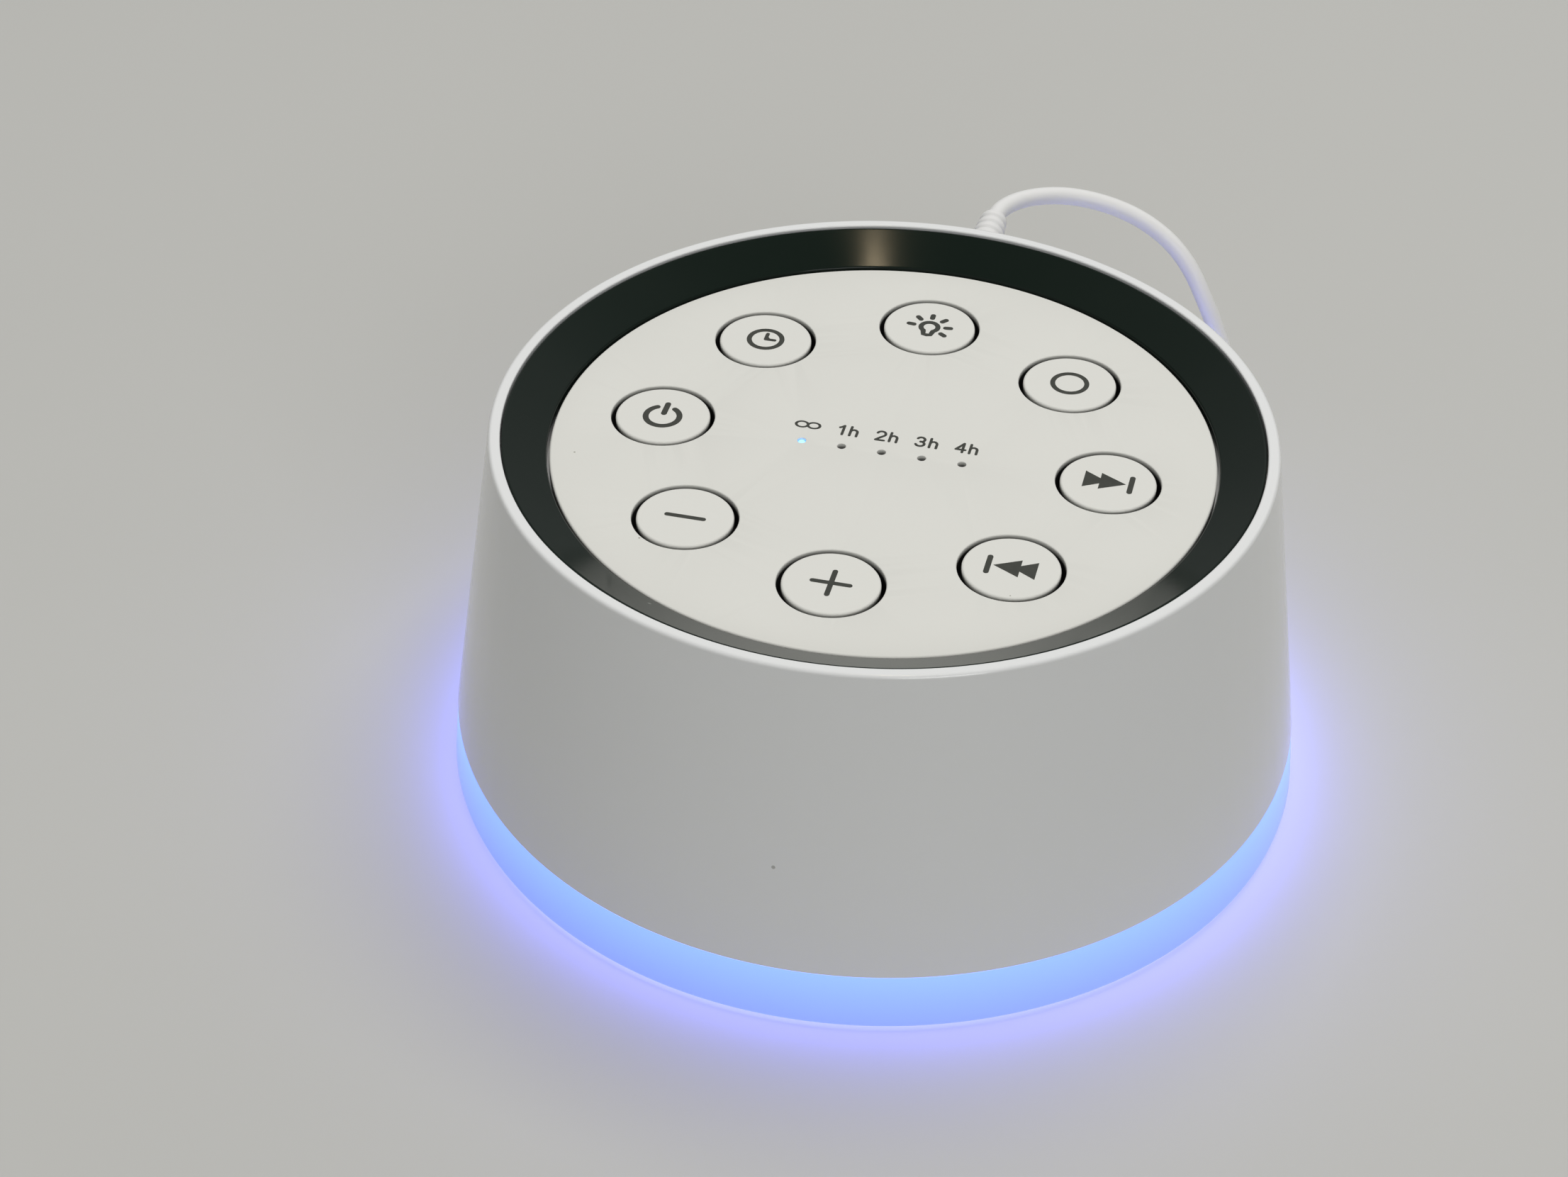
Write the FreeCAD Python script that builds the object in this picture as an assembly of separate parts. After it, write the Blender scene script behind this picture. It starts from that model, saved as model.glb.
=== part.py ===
import FreeCAD, Part
import math
import os

os.makedirs("parts", exist_ok=True)
V = FreeCAD.Vector

# Driving dimensions in millimetres, z = 0 on the table, +X right, -Y towards the listener
total_height = 55.0
shell_top_radius = 53.8
shell_bottom_radius = 60.0
wall = 2.4
rim_width = 1.65
rim_round = 0.6
running_gap = 0.15
seat_gap = 0.1
thread_gap = 0.05
root = 0.5
past = 1.0

# Control face
panel_drop = 3.6
panel_thickness = 2.0
panel_edge_round = 0.35
button_count = 8
button_hole_radius = 7.1
button_cap_radius = 6.75
button_travel = 0.5
hole_round = 0.25
cap_round = 0.45
cap_skin = 1.5
cap_wall = 1.15
collar_wall = 1.3
collar_length = 1.8
collar_margin = 1.2
flange_thickness = 0.9
flange_reach = 1.55
stem_radius = 1.5
led_count = 5
led_pitch = 5.6
led_row_y = -0.95
led_hole_radius = 0.6
led_length = 1.6
led_width = 0.8
led_height = 0.6
guide_drop = 1.2
guide_stand = 0.2
guide_bar_width = 2.6
guide_bar_height = 1.6
guide_post_radius = 0.8
guide_post_length = 2.2

# Bezel ring and the deck that carries ring and panel
bezel_width = 6.05
ring_gap = 0.35
ring_outer_lip = 0.2
ring_inner_rise = 0.15
ring_wall = 1.35
deck_thickness = 2.0
deck_ledge = 4.8
pin_count = 8
pin_radius = 1.0
pin_inset = 2.8
pin_first_angle = 22.5
pin_length = 2.5
hook_width = 6.0
hook_arm = 1.5
hook_lip = 1.0
hook_gap = 0.4
hook_depth = 1.2

# Main circuit board
board_gap = 0.3
board_thickness = 1.6
board_drop = 6.4
board_boss_radius = 2.8
board_boss_inset = 3.5
boss_count = 4
boss_first_angle = 22.5
board_screw_radius = 1.2
board_screw_grip = 4.5
board_screw_head_radius = 2.3
board_screw_head = 1.7
pilot_extra = 0.8
switch_side = 6.0
switch_height = 3.5
plunger_radius = 1.75
plunger_stand = 0.8
plunger_depth = 1.7
plunger_gap = 0.1
plunger_round = 0.2
chip_side = 7.0
chip_height = 1.4
memory_side = 5.3
memory_height = 1.8
amplifier_width = 5.0
amplifier_length = 6.2
amplifier_height = 1.6
can_radius = 3.15
can_height = 7.0
header_length = 7.8
header_width = 5.8
header_height = 6.0

# Housing bosses and the base
housing_boss_radius = 3.2
housing_boss_gap = 2.73
housing_rib = 1.6
housing_rib_gap = 1.5
housing_boss_angle = 45.0
base_screw_radius = 1.4
base_screw_length = 12.0
foot_stand = 0.8
light_ring_height = 8.4
light_ring_flare = 0.65
light_ring_wall = 3.8
light_ring_foot = 2.3
light_ring_round = 0.4
tongue_height = 1.5
base_thickness = 1.8
base_inset = 0.2
grille_margin = 1.4
grille_slope = 1.5
grille_rise = 2.0
grille_hole_radius = 1.2
grille_pitch = 4.4
grille_rings = 4
foot_radius = 6.0
foot_recess = 0.6
foot_round = 0.3
foot_count = 4

# Light circuit board under the diffuser ring
strip_gap = 0.4
strip_width = 4.4
strip_thickness = 1.2
strip_standoff = 1.0
strip_boss_radius = 1.9
strip_screw_radius = 0.85
strip_screw_length = 1.9
strip_screw_head_radius = 1.7
strip_screw_head = 1.1
lamp_count = 16
lamp_length = 3.5
lamp_width = 2.8
lamp_height = 1.9

# Loudspeaker, facing down through the grille
speaker_radius = 26.0
gasket_thickness = 1.0
lug_count = 4
lug_first_angle = 45.0
lug_reach = 2.6
lug_radius = 3.0
basket_sheet = 0.9
basket_rim = 3.2
basket_ledge_height = 6.6
basket_ledge_radius = 17.0
basket_height = 11.7
cup_radius = 13.2
cup_hole_radius = 7.2
shelf_height = 1.0
shelf_width = 2.4
window_length = 6.4
window_width = 10.0
window_inner_radius = 15.2
window_lift = 0.6
top_plate_radius = 14.5
top_plate_thickness = 3.0
magnet_radius = 15.5
magnet_bore = 8.0
magnet_thickness = 6.0
yoke_thickness = 3.0
pole_radius = 5.6
pole_drop = 0.2
coil_inner = 5.9
coil_outer = 6.3
coil_gap = 0.3
coil_overhang = 0.8
cone_neck_drop = 2.0
cone_thickness = 0.5
surround_thickness = 0.4
surround_roll_width = 2.8
spider_thickness = 0.35
spider_waves = 3
cap_rim = 7.2
cap_drop = 2.2
cap_thickness = 0.4
terminal_inset = 1.0
terminal_length = 8.0
terminal_thickness = 1.2
terminal_height = 5.2
speaker_screw_radius = 1.0
speaker_screw_length = 2.8
speaker_screw_head_radius = 2.0
speaker_screw_head = 1.4

# Power socket, plug and lead
socket_height = 38.5
socket_radius = 4.2
socket_length = 9.9
socket_recess = 0.83
socket_side = 9.0
socket_nose_inset = 0.2
socket_bore_gap = 0.2
socket_pin_radius = 1.0
socket_floor = 1.0
cradle_wall = 1.5
barrel_radius = 2.75
barrel_length = 10.0
barrel_bore = 1.25
barrel_clearance = 0.8
plug_radius = 4.6
plug_stand = 0.44
plug_length = 15.5
relief_length = 11.2
relief_start_radius = 2.9
relief_end_radius = 2.1
relief_ribs = 5
relief_groove = 0.4
cord_diameter = 2.8
inner_lead_diameter = 1.2
inner_lead_pitch = 2.5

# Heights and radii that follow from the values above
shell_bottom = foot_stand + light_ring_height
shell_flare = (shell_bottom_radius - shell_top_radius) / (total_height - shell_bottom)


def outer_radius(z):
    """Outside radius of the tapering shell at height z."""
    return shell_top_radius + (total_height - z) * shell_flare


def inner_radius(z):
    """Inside radius of the shell's wall at height z."""
    return outer_radius(z) - wall


panel_top = total_height - panel_drop
deck_top = panel_top - panel_thickness
deck_bottom = deck_top - deck_thickness
recess_radius = shell_top_radius - rim_width
ring_outer_radius = recess_radius - running_gap
ring_inner_radius = ring_outer_radius - bezel_width
panel_radius = ring_inner_radius - ring_gap
deck_inner_radius = panel_radius - deck_ledge
pin_circle_radius = ring_outer_radius - pin_inset
button_circle_radius = deck_inner_radius - collar_margin - collar_wall - button_hole_radius
board_radius = deck_inner_radius - board_gap
board_boss_circle = board_radius - board_boss_inset
board_top = deck_top - board_drop
board_bottom = board_top - board_thickness
header_bottom = board_bottom - header_height
switch_top = board_top + switch_height
plunger_top = switch_top + plunger_stand
collar_bottom = deck_top - collar_length
guide_post_x = 1.5 * led_pitch
housing_boss_circle = inner_radius(deck_bottom) - housing_boss_gap - housing_boss_radius
light_ring_inner = shell_bottom_radius - light_ring_wall
base_radius = shell_bottom_radius + light_ring_flare - light_ring_foot - running_gap
base_bottom = foot_stand + base_inset
base_top = base_bottom + base_thickness
grille_top = base_top + grille_rise
lug_circle = speaker_radius + lug_reach
grille_radius = lug_circle + lug_radius + grille_margin
foot_circle = (grille_radius + grille_slope + base_radius) / 2
strip_outer_radius = light_ring_inner - strip_gap
strip_inner_radius = strip_outer_radius - strip_width
strip_middle = (strip_inner_radius + strip_outer_radius) / 2
strip_bottom = base_top + strip_standoff
strip_top = strip_bottom + strip_thickness
flange_bottom = grille_top + gasket_thickness
speaker_shelf = flange_bottom + shelf_height
ledge_bottom = flange_bottom + basket_ledge_height
basket_top = flange_bottom + basket_height
plate_top = basket_top + top_plate_thickness
magnet_top = plate_top + magnet_thickness
yoke_top = magnet_top + yoke_thickness
terminal_y = terminal_inset - speaker_radius
terminal_top = speaker_shelf + terminal_height
socket_front = inner_radius(socket_height + socket_side / 2) - socket_recess
socket_back = socket_front - socket_length
plug_face = outer_radius(socket_height - plug_radius) + plug_stand
plug_end = plug_face + plug_length
relief_end = plug_end + relief_length


def places(count, radius, first_angle=0.0):
    """Centres of count features on a circle: x, y and the angle in degrees."""
    spots = []
    for i in range(count):
        angle = first_angle + i * 360.0 / count
        turn = math.radians(angle)
        spots.append((radius * math.cos(turn), radius * math.sin(turn), angle))
    return spots


def rod(radius, low, high, x=0.0, y=0.0):
    """Upright round bar."""
    return Part.makeCylinder(radius, high - low, V(x, y, low))


def pipe(outer, inner, low, high, x=0.0, y=0.0):
    """Upright round sleeve."""
    return rod(outer, low, high, x, y).cut(rod(inner, low - past, high + past, x, y))


def block(x0, x1, y0, y1, z0, z1):
    """Square block between two corners."""
    return Part.makeBox(x1 - x0, y1 - y0, z1 - z0, V(x0, y0, z0))


def turned(outline, x=0.0, y=0.0):
    """Solid of revolution about the upright axis from radius and height pairs."""
    points = [V(r, 0, z) for r, z in outline]
    face = Part.Face(Part.makePolygon(points + [points[0]]))
    solid = face.revolve(V(0, 0, 0), V(0, 0, 1), 360)
    solid.translate(V(x, y, 0))
    return solid


def turned_along_y(outline, z):
    """Solid of revolution about a line along Y at height z, from radius and y pairs."""
    points = [V(r, along, 0) for r, along in outline]
    face = Part.Face(Part.makePolygon(points + [points[0]]))
    solid = face.revolve(V(0, 0, 0), V(0, 1, 0), 360)
    solid.translate(V(0, 0, z))
    return solid


def spun(shape, angle):
    """The shape turned about the upright axis."""
    copy = shape.copy()
    copy.rotate(V(0, 0, 0), V(0, 0, 1), angle)
    return copy


def joined(shapes):
    """One solid from several overlapping ones."""
    return shapes[0].fuse(shapes[1:]).removeSplitter()


def rounded(shape, size, circles):
    """Fillet the round edges given as radius and height pairs."""
    picked = []
    for edge in shape.Edges:
        if not isinstance(edge.Curve, Part.Circle):
            continue
        for radius, z in circles:
            near = abs(edge.Curve.Radius - radius) < 1e-4 and abs(edge.Curve.Center.z - z) < 1e-4
            if near:
                picked.append(edge)
    return shape.makeFillet(size, picked)


def save(name, *solids):
    """Write one node's solids to its own file."""
    shape = solids[0] if len(solids) == 1 else Part.makeCompound(list(solids))
    shape.exportStep("parts/" + name + ".step")
    print(name, len(shape.Solids), round(shape.Volume, 1), shape.isValid())


def screw(x, y, seat, up, head_radius, head_height, shank_radius, length):
    """Pan head screw whose head rests on the seat; up tells which way its shank points."""
    head_low = seat - head_height if up else seat
    head = rod(head_radius, head_low, head_low + head_height, x, y)
    shank_low = seat if up else seat - length
    shank = rod(shank_radius, shank_low, shank_low + length, x, y)
    slot_depth = 0.55 * head_height
    slot_low = head_low if up else head_low + head_height - slot_depth
    arm = 0.62 * head_radius
    half = 0.16 * head_radius
    cross = [
        block(x - arm, x + arm, y - half, y + half, slot_low, slot_low + slot_depth),
        block(x - half, x + half, y - arm, y + arm, slot_low, slot_low + slot_depth),
    ]
    return joined([head, shank]).cut(cross)


# Outer shell: tapered moulding with a flat rim, a deck, four long bosses and a socket cradle
def outer_shell():
    body = turned([
        (shell_bottom_radius, shell_bottom),
        (shell_top_radius, total_height),
        (recess_radius, total_height),
        (recess_radius, deck_top),
        (deck_inner_radius, deck_top),
        (deck_inner_radius, deck_bottom),
        (inner_radius(deck_bottom), deck_bottom),
        (inner_radius(shell_bottom), shell_bottom),
    ])
    body = rounded(body, rim_round, [(shell_top_radius, total_height)])
    within = turned([
        (0, base_top),
        (inner_radius(base_top) + seat_gap, base_top),
        (inner_radius(deck_bottom) + seat_gap, deck_bottom),
        (0, deck_bottom),
    ])
    inside = []
    rib_half = housing_rib / 2
    rib_low = shell_bottom + tongue_height + housing_rib_gap
    for x, y, angle in places(boss_count, housing_boss_circle, housing_boss_angle):
        inside.append(rod(housing_boss_radius, base_top, deck_bottom + root, x, y))
        rib = block(housing_boss_circle, shell_bottom_radius, -rib_half, rib_half, rib_low, deck_bottom)
        inside.append(spun(rib.common(within), angle))
    half = socket_side / 2
    cradle = block(
        -half - seat_gap - cradle_wall, half + seat_gap + cradle_wall,
        socket_back + cradle_wall, shell_bottom_radius,
        socket_height - half - seat_gap - cradle_wall, socket_height + cradle_wall)
    seat = block(
        -half - seat_gap, half + seat_gap, socket_back, shell_bottom_radius,
        socket_height - half - seat_gap, socket_height + half)
    inside.append(cradle.cut(seat).common(within))
    body = joined([body] + inside)
    pilot_depth = base_screw_length + pilot_extra
    cuts = []
    for x, y, angle in places(boss_count, housing_boss_circle, housing_boss_angle):
        cuts.append(rod(base_screw_radius + thread_gap, base_top - past, base_top + pilot_depth, x, y))
    for x, y, angle in places(pin_count, pin_circle_radius, pin_first_angle):
        cuts.append(rod(pin_radius + seat_gap, deck_bottom - past, deck_top + past, x, y))
    mouth = Part.makeCylinder(
        socket_radius + running_gap, shell_bottom_radius - socket_front, V(0, socket_front, socket_height),
        V(0, 1, 0))
    cuts.append(mouth)
    save("outer_shell", body.cut(cuts))


# Bezel ring: sloping dark ring, hollow below, with pins through the deck
def bezel_ring():
    top_outer = total_height - ring_outer_lip
    top_inner = panel_top + ring_inner_rise
    slope = (top_outer - top_inner) / (ring_outer_radius - ring_inner_radius)
    hollow_in = ring_inner_radius + ring_wall
    hollow_out = ring_outer_radius - ring_wall
    roof_in = top_inner + slope * ring_wall - ring_wall
    roof_out = top_inner + slope * (hollow_out - ring_inner_radius) - ring_wall
    body = turned([
        (ring_outer_radius, deck_top),
        (ring_outer_radius, top_outer),
        (ring_inner_radius, top_inner),
        (ring_inner_radius, deck_top),
        (hollow_in, deck_top),
        (hollow_in, roof_in),
        (hollow_out, roof_out),
        (hollow_out, deck_top),
    ])
    pins = []
    for x, y, angle in places(pin_count, pin_circle_radius, pin_first_angle):
        pins.append(rod(pin_radius, deck_top - pin_length, roof_out, x, y))
    save("bezel_ring", joined([body] + pins))


# Control panel: white disc with eight button holes, five lamp holes, collars, bosses and hooks
def control_panel():
    disc = rounded(rod(panel_radius, deck_top, panel_top), panel_edge_round, [(panel_radius, panel_top)])
    under = []
    for x, y, angle in places(button_count, button_circle_radius):
        under.append(rod(button_hole_radius + collar_wall, collar_bottom, deck_top + root, x, y))
    for x, y, angle in places(boss_count, board_boss_circle, boss_first_angle):
        under.append(rod(board_boss_radius, board_top, deck_top + root, x, y))
    arm_outer = deck_inner_radius - hook_gap
    hook_low = deck_bottom - hook_depth
    for x, y, angle in places(boss_count, 1.0, boss_first_angle + 45.0):
        arm = block(arm_outer - hook_arm, arm_outer, -hook_width / 2, hook_width / 2, hook_low, deck_top + root)
        lip_top = deck_bottom - seat_gap
        lip = block(arm_outer - root, arm_outer + hook_lip, -hook_width / 2, hook_width / 2, hook_low, lip_top)
        under.append(spun(arm, angle))
        under.append(spun(lip, angle))
    for side in (-1, 1):
        under.append(rod(guide_post_radius, deck_top - guide_post_length, deck_top + root,
                         side * guide_post_x, led_row_y))
    body = joined([disc] + under)
    cuts = []
    for x, y, angle in places(button_count, button_circle_radius):
        cuts.append(rod(button_hole_radius, collar_bottom - past, panel_top + past, x, y))
    for x, y, angle in places(boss_count, board_boss_circle, boss_first_angle):
        cuts.append(rod(board_screw_radius + thread_gap, board_top - past,
                        board_top + board_screw_grip + pilot_extra, x, y))
    for x in led_row():
        cuts.append(rod(led_hole_radius, deck_top - past, panel_top + past, x, led_row_y))
    body = body.cut(cuts)
    body = rounded(body, hole_round, [(button_hole_radius, panel_top)])
    save("control_panel", body)


def led_row():
    """X positions of the timer lamps."""
    middle = (led_count - 1) / 2
    return [(i - middle) * led_pitch for i in range(led_count)]


# Buttons: hollow caps with a retaining flange and a stem that presses the switch plunger
def button_cap(name, x, y):
    inner = button_cap_radius - cap_wall
    body = turned([
        (0, panel_top),
        (button_cap_radius, panel_top),
        (button_cap_radius, collar_bottom),
        (button_cap_radius + flange_reach, collar_bottom),
        (button_cap_radius + flange_reach, collar_bottom - flange_thickness),
        (inner, collar_bottom - flange_thickness),
        (inner, panel_top - cap_skin),
        (stem_radius, panel_top - cap_skin),
        (stem_radius, plunger_top),
        (0, plunger_top),
    ], x, y)
    save(name, rounded(body, cap_round, [(button_cap_radius, panel_top)]))


def switch_plunger(name, x, y):
    body = rod(plunger_radius, switch_top - plunger_depth, plunger_top, x, y)
    save(name, rounded(body, plunger_round, [(plunger_radius, plunger_top)]))


button_names = ["next", "select", "light", "timer", "power", "volume_down", "volume_up", "previous"]


def buttons():
    for name, (x, y, angle) in zip(button_names, places(button_count, button_circle_radius)):
        button_cap("button_" + name, x, y)
        switch_plunger("plunger_" + name, x, y)


# Main circuit board with its switches, lamps, chips, capacitors, connectors and screws
def main_board():
    board = rod(board_radius, board_bottom, board_top)
    holes = []
    screws = []
    for x, y, angle in places(boss_count, board_boss_circle, boss_first_angle):
        holes.append(rod(board_screw_radius + running_gap, board_bottom - past, board_top + past, x, y))
        grip = board_thickness + board_screw_grip
        screws.append(screw(x, y, board_bottom, True, board_screw_head_radius, board_screw_head,
                            board_screw_radius, grip))
    save("main_circuit_board", board.cut(holes))
    save("board_screws", *screws)
    housings = []
    half = switch_side / 2
    bore = plunger_radius + plunger_gap
    bore_low = switch_top - plunger_depth - button_travel - plunger_gap
    for x, y, angle in places(button_count, button_circle_radius):
        body = block(x - half, x + half, y - half, y + half, board_top, switch_top)
        housings.append(body.cut(rod(bore, bore_low, switch_top + past, x, y)))
    save("switch_housings", *housings)
    lamps = []
    for x in led_row():
        lamps.append(block(x - led_length / 2, x + led_length / 2, led_row_y - led_width / 2,
                           led_row_y + led_width / 2, board_top, board_top + led_height))
    save("timer_leds", *lamps)
    bar_half_length = led_count * led_pitch / 2
    bar_half_width = guide_bar_width / 2
    bar = block(-bar_half_length, bar_half_length, led_row_y - bar_half_width, led_row_y + bar_half_width,
                deck_top - guide_bar_height, deck_top)
    rods = []
    for x in led_row():
        rods.append(rod(led_hole_radius - seat_gap, board_top + led_height + guide_stand,
                        panel_top - guide_drop, x, led_row_y))
    slots = []
    for side in (-1, 1):
        slots.append(rod(guide_post_radius + seat_gap, deck_top - guide_bar_height - past, deck_top + past,
                         side * guide_post_x, led_row_y))
    save("timer_light_pipe", joined([bar] + rods).cut(slots))


def under_board(x0, x1, y0, y1, height):
    """Part that hangs from the underside of the main board."""
    return block(x0, x1, y0, y1, board_bottom - height, board_bottom)


speaker_header_y = -26.0
power_header_y = 27.0
light_header_x = 29.0


def board_parts():
    chips = []
    for x, y, width, length, height in (
            (0.0, 0.0, chip_side, chip_side, chip_height),
            (11.65, 6.65, memory_side, memory_side, memory_height),
            (0.0, -13.4, amplifier_width, amplifier_length, amplifier_height)):
        chips.append(under_board(x - width / 2, x + width / 2, y - length / 2, y + length / 2, height))
    save("board_chips", *chips)
    tins = []
    for x, y in ((-20.0, -12.0), (-24.0, -4.0), (-20.0, 13.0)):
        tins.append(rod(can_radius, board_bottom - can_height, board_bottom, x, y))
    save("board_capacitors", *tins)
    headers = []
    for x, y, along_x, along_y in (
            (0.0, speaker_header_y, header_length, header_width),
            (0.0, power_header_y, header_length, header_width),
            (light_header_x, 0.0, header_width, header_length)):
        headers.append(under_board(x - along_x / 2, x + along_x / 2, y - along_y / 2, y + along_y / 2,
                                   header_height))
    save("board_connectors", *headers)


# Loudspeaker: pressed basket, motor, coil, cone, surround, spider, cap, gasket and screws
def half_circle(centre, radius, z, step):
    """Points of a half circle below height z, from the outer side to the inner one."""
    turns = [math.radians(a) for a in range(0, 181, step)]
    return [(centre + radius * math.cos(a), z - radius * math.sin(a)) for a in turns]


def speaker():
    shelf_outer = speaker_radius - shelf_width
    shelf_inner = shelf_outer - shelf_width
    pocket = speaker_radius - basket_rim
    sheet_top = speaker_shelf + basket_sheet
    basket = turned([
        (speaker_radius, flange_bottom),
        (speaker_radius, speaker_shelf),
        (shelf_outer, speaker_shelf),
        (shelf_outer, sheet_top),
        (basket_ledge_radius + basket_sheet, ledge_bottom + basket_sheet),
        (cup_radius + basket_sheet, ledge_bottom + basket_sheet),
        (cup_radius + basket_sheet, basket_top),
        (cup_hole_radius, basket_top),
        (cup_hole_radius, basket_top - basket_sheet),
        (cup_radius, basket_top - basket_sheet),
        (cup_radius, ledge_bottom),
        (basket_ledge_radius, ledge_bottom),
        (shelf_outer - 1.5 * basket_sheet, sheet_top),
        (shelf_inner, sheet_top),
        (shelf_inner, speaker_shelf),
        (pocket, speaker_shelf),
        (pocket, flange_bottom),
    ])
    lugs = []
    holes = []
    screws = []
    ring_cut = rod(pocket, flange_bottom - past, speaker_shelf + past)
    for x, y, angle in places(lug_count, lug_circle, lug_first_angle):
        lug = rod(lug_radius, flange_bottom, speaker_shelf, x, y)
        neck = spun(block(pocket, lug_circle, -lug_radius, lug_radius, flange_bottom, speaker_shelf), angle)
        lugs.append(lug.cut(ring_cut))
        lugs.append(neck.cut(ring_cut))
        holes.append(rod(speaker_screw_radius + running_gap, flange_bottom - past, speaker_shelf + past, x, y))
        screws.append(screw(x, y, speaker_shelf, False, speaker_screw_head_radius, speaker_screw_head,
                            speaker_screw_radius, speaker_screw_length))
    windows = []
    for angle in (0.0, 90.0, 180.0):
        window = block(window_inner_radius, window_inner_radius + window_length, -window_width / 2,
                       window_width / 2, sheet_top + window_lift, ledge_bottom - basket_sheet)
        windows.append(spun(window, angle))
    save("speaker_frame", joined([basket] + lugs).cut(holes + windows))
    save("speaker_screws", *screws)
    save("speaker_top_plate", pipe(top_plate_radius, coil_outer + coil_gap, basket_top, plate_top))
    save("speaker_magnet", pipe(magnet_radius, magnet_bore, plate_top, magnet_top))
    pole = rod(pole_radius, basket_top + pole_drop, magnet_top + root)
    save("speaker_yoke", joined([rod(top_plate_radius, magnet_top, yoke_top), pole]))
    neck_low = ledge_bottom - cone_neck_drop
    cone_edge = shelf_inner - surround_roll_width
    cone_foot = cone_edge - 3 * surround_thickness
    save("speaker_voice_coil", pipe(coil_outer, coil_inner, neck_low - coil_overhang, plate_top + pole_drop))
    save("speaker_cone", turned([
        (coil_outer, neck_low), (cone_foot, speaker_shelf + 0.6 * cone_thickness), (cone_foot, speaker_shelf),
        (cone_edge, speaker_shelf), (cone_edge, speaker_shelf + cone_thickness),
        (cone_edge - 2 * cone_thickness, speaker_shelf + 1.6 * cone_thickness),
        (coil_outer, neck_low + cone_thickness)]))
    roll_centre = (cone_edge + shelf_inner) / 2
    roll = surround_roll_width / 2
    skin = surround_thickness
    surround_low = speaker_shelf - skin
    save("speaker_surround", turned(
        [(cone_foot, surround_low)] + half_circle(roll_centre, roll, surround_low, 20)[::-1]
        + [(pocket - seat_gap, surround_low), (pocket - seat_gap, speaker_shelf),
           (roll_centre + roll - skin, speaker_shelf)]
        + half_circle(roll_centre, roll - skin, surround_low, 20)
        + [(cone_edge + skin, speaker_shelf), (cone_foot, speaker_shelf)]))
    spider_inner = coil_outer + seat_gap
    spider_outer = cup_radius + coil_gap
    spider_edge = basket_ledge_radius - 2 * coil_gap
    wave_top = []
    steps = spider_waves * 4
    for i in range(steps + 1):
        r = spider_inner + (spider_outer - spider_inner) * i / steps
        wave = math.sin(i * math.pi / 2) if 0 < i < steps else 0.0
        wave_top.append((r, ledge_bottom - spider_thickness + spider_thickness * wave))
    wave_low = [(r, z - spider_thickness) for r, z in wave_top]
    save("speaker_spider", turned(
        wave_top[:-1] + [(spider_outer, ledge_bottom), (spider_edge, ledge_bottom),
                         (spider_edge, ledge_bottom - spider_thickness)] + wave_low[::-1]))
    cap_high = neck_low - (cap_rim - coil_outer) * 0.4 - 1.2 * seat_gap
    dome = []
    dome_inner = []
    for angle in range(0, 91, 15):
        across = math.sin(math.radians(angle))
        down = math.cos(math.radians(angle))
        dome.append((cap_rim * across, cap_high - cap_drop * down))
        dome_inner.append(((cap_rim - cap_thickness) * across, cap_high - (cap_drop - cap_thickness) * down))
    save("speaker_dust_cap", turned(dome + dome_inner[::-1]))
    save("speaker_gasket", pipe(speaker_radius - 2 * seat_gap, pocket, grille_top, flange_bottom))
    save("speaker_terminal_strip", block(
        -terminal_length / 2, terminal_length / 2, terminal_y - terminal_thickness / 2,
        terminal_y + terminal_thickness / 2, speaker_shelf, terminal_top))


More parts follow.
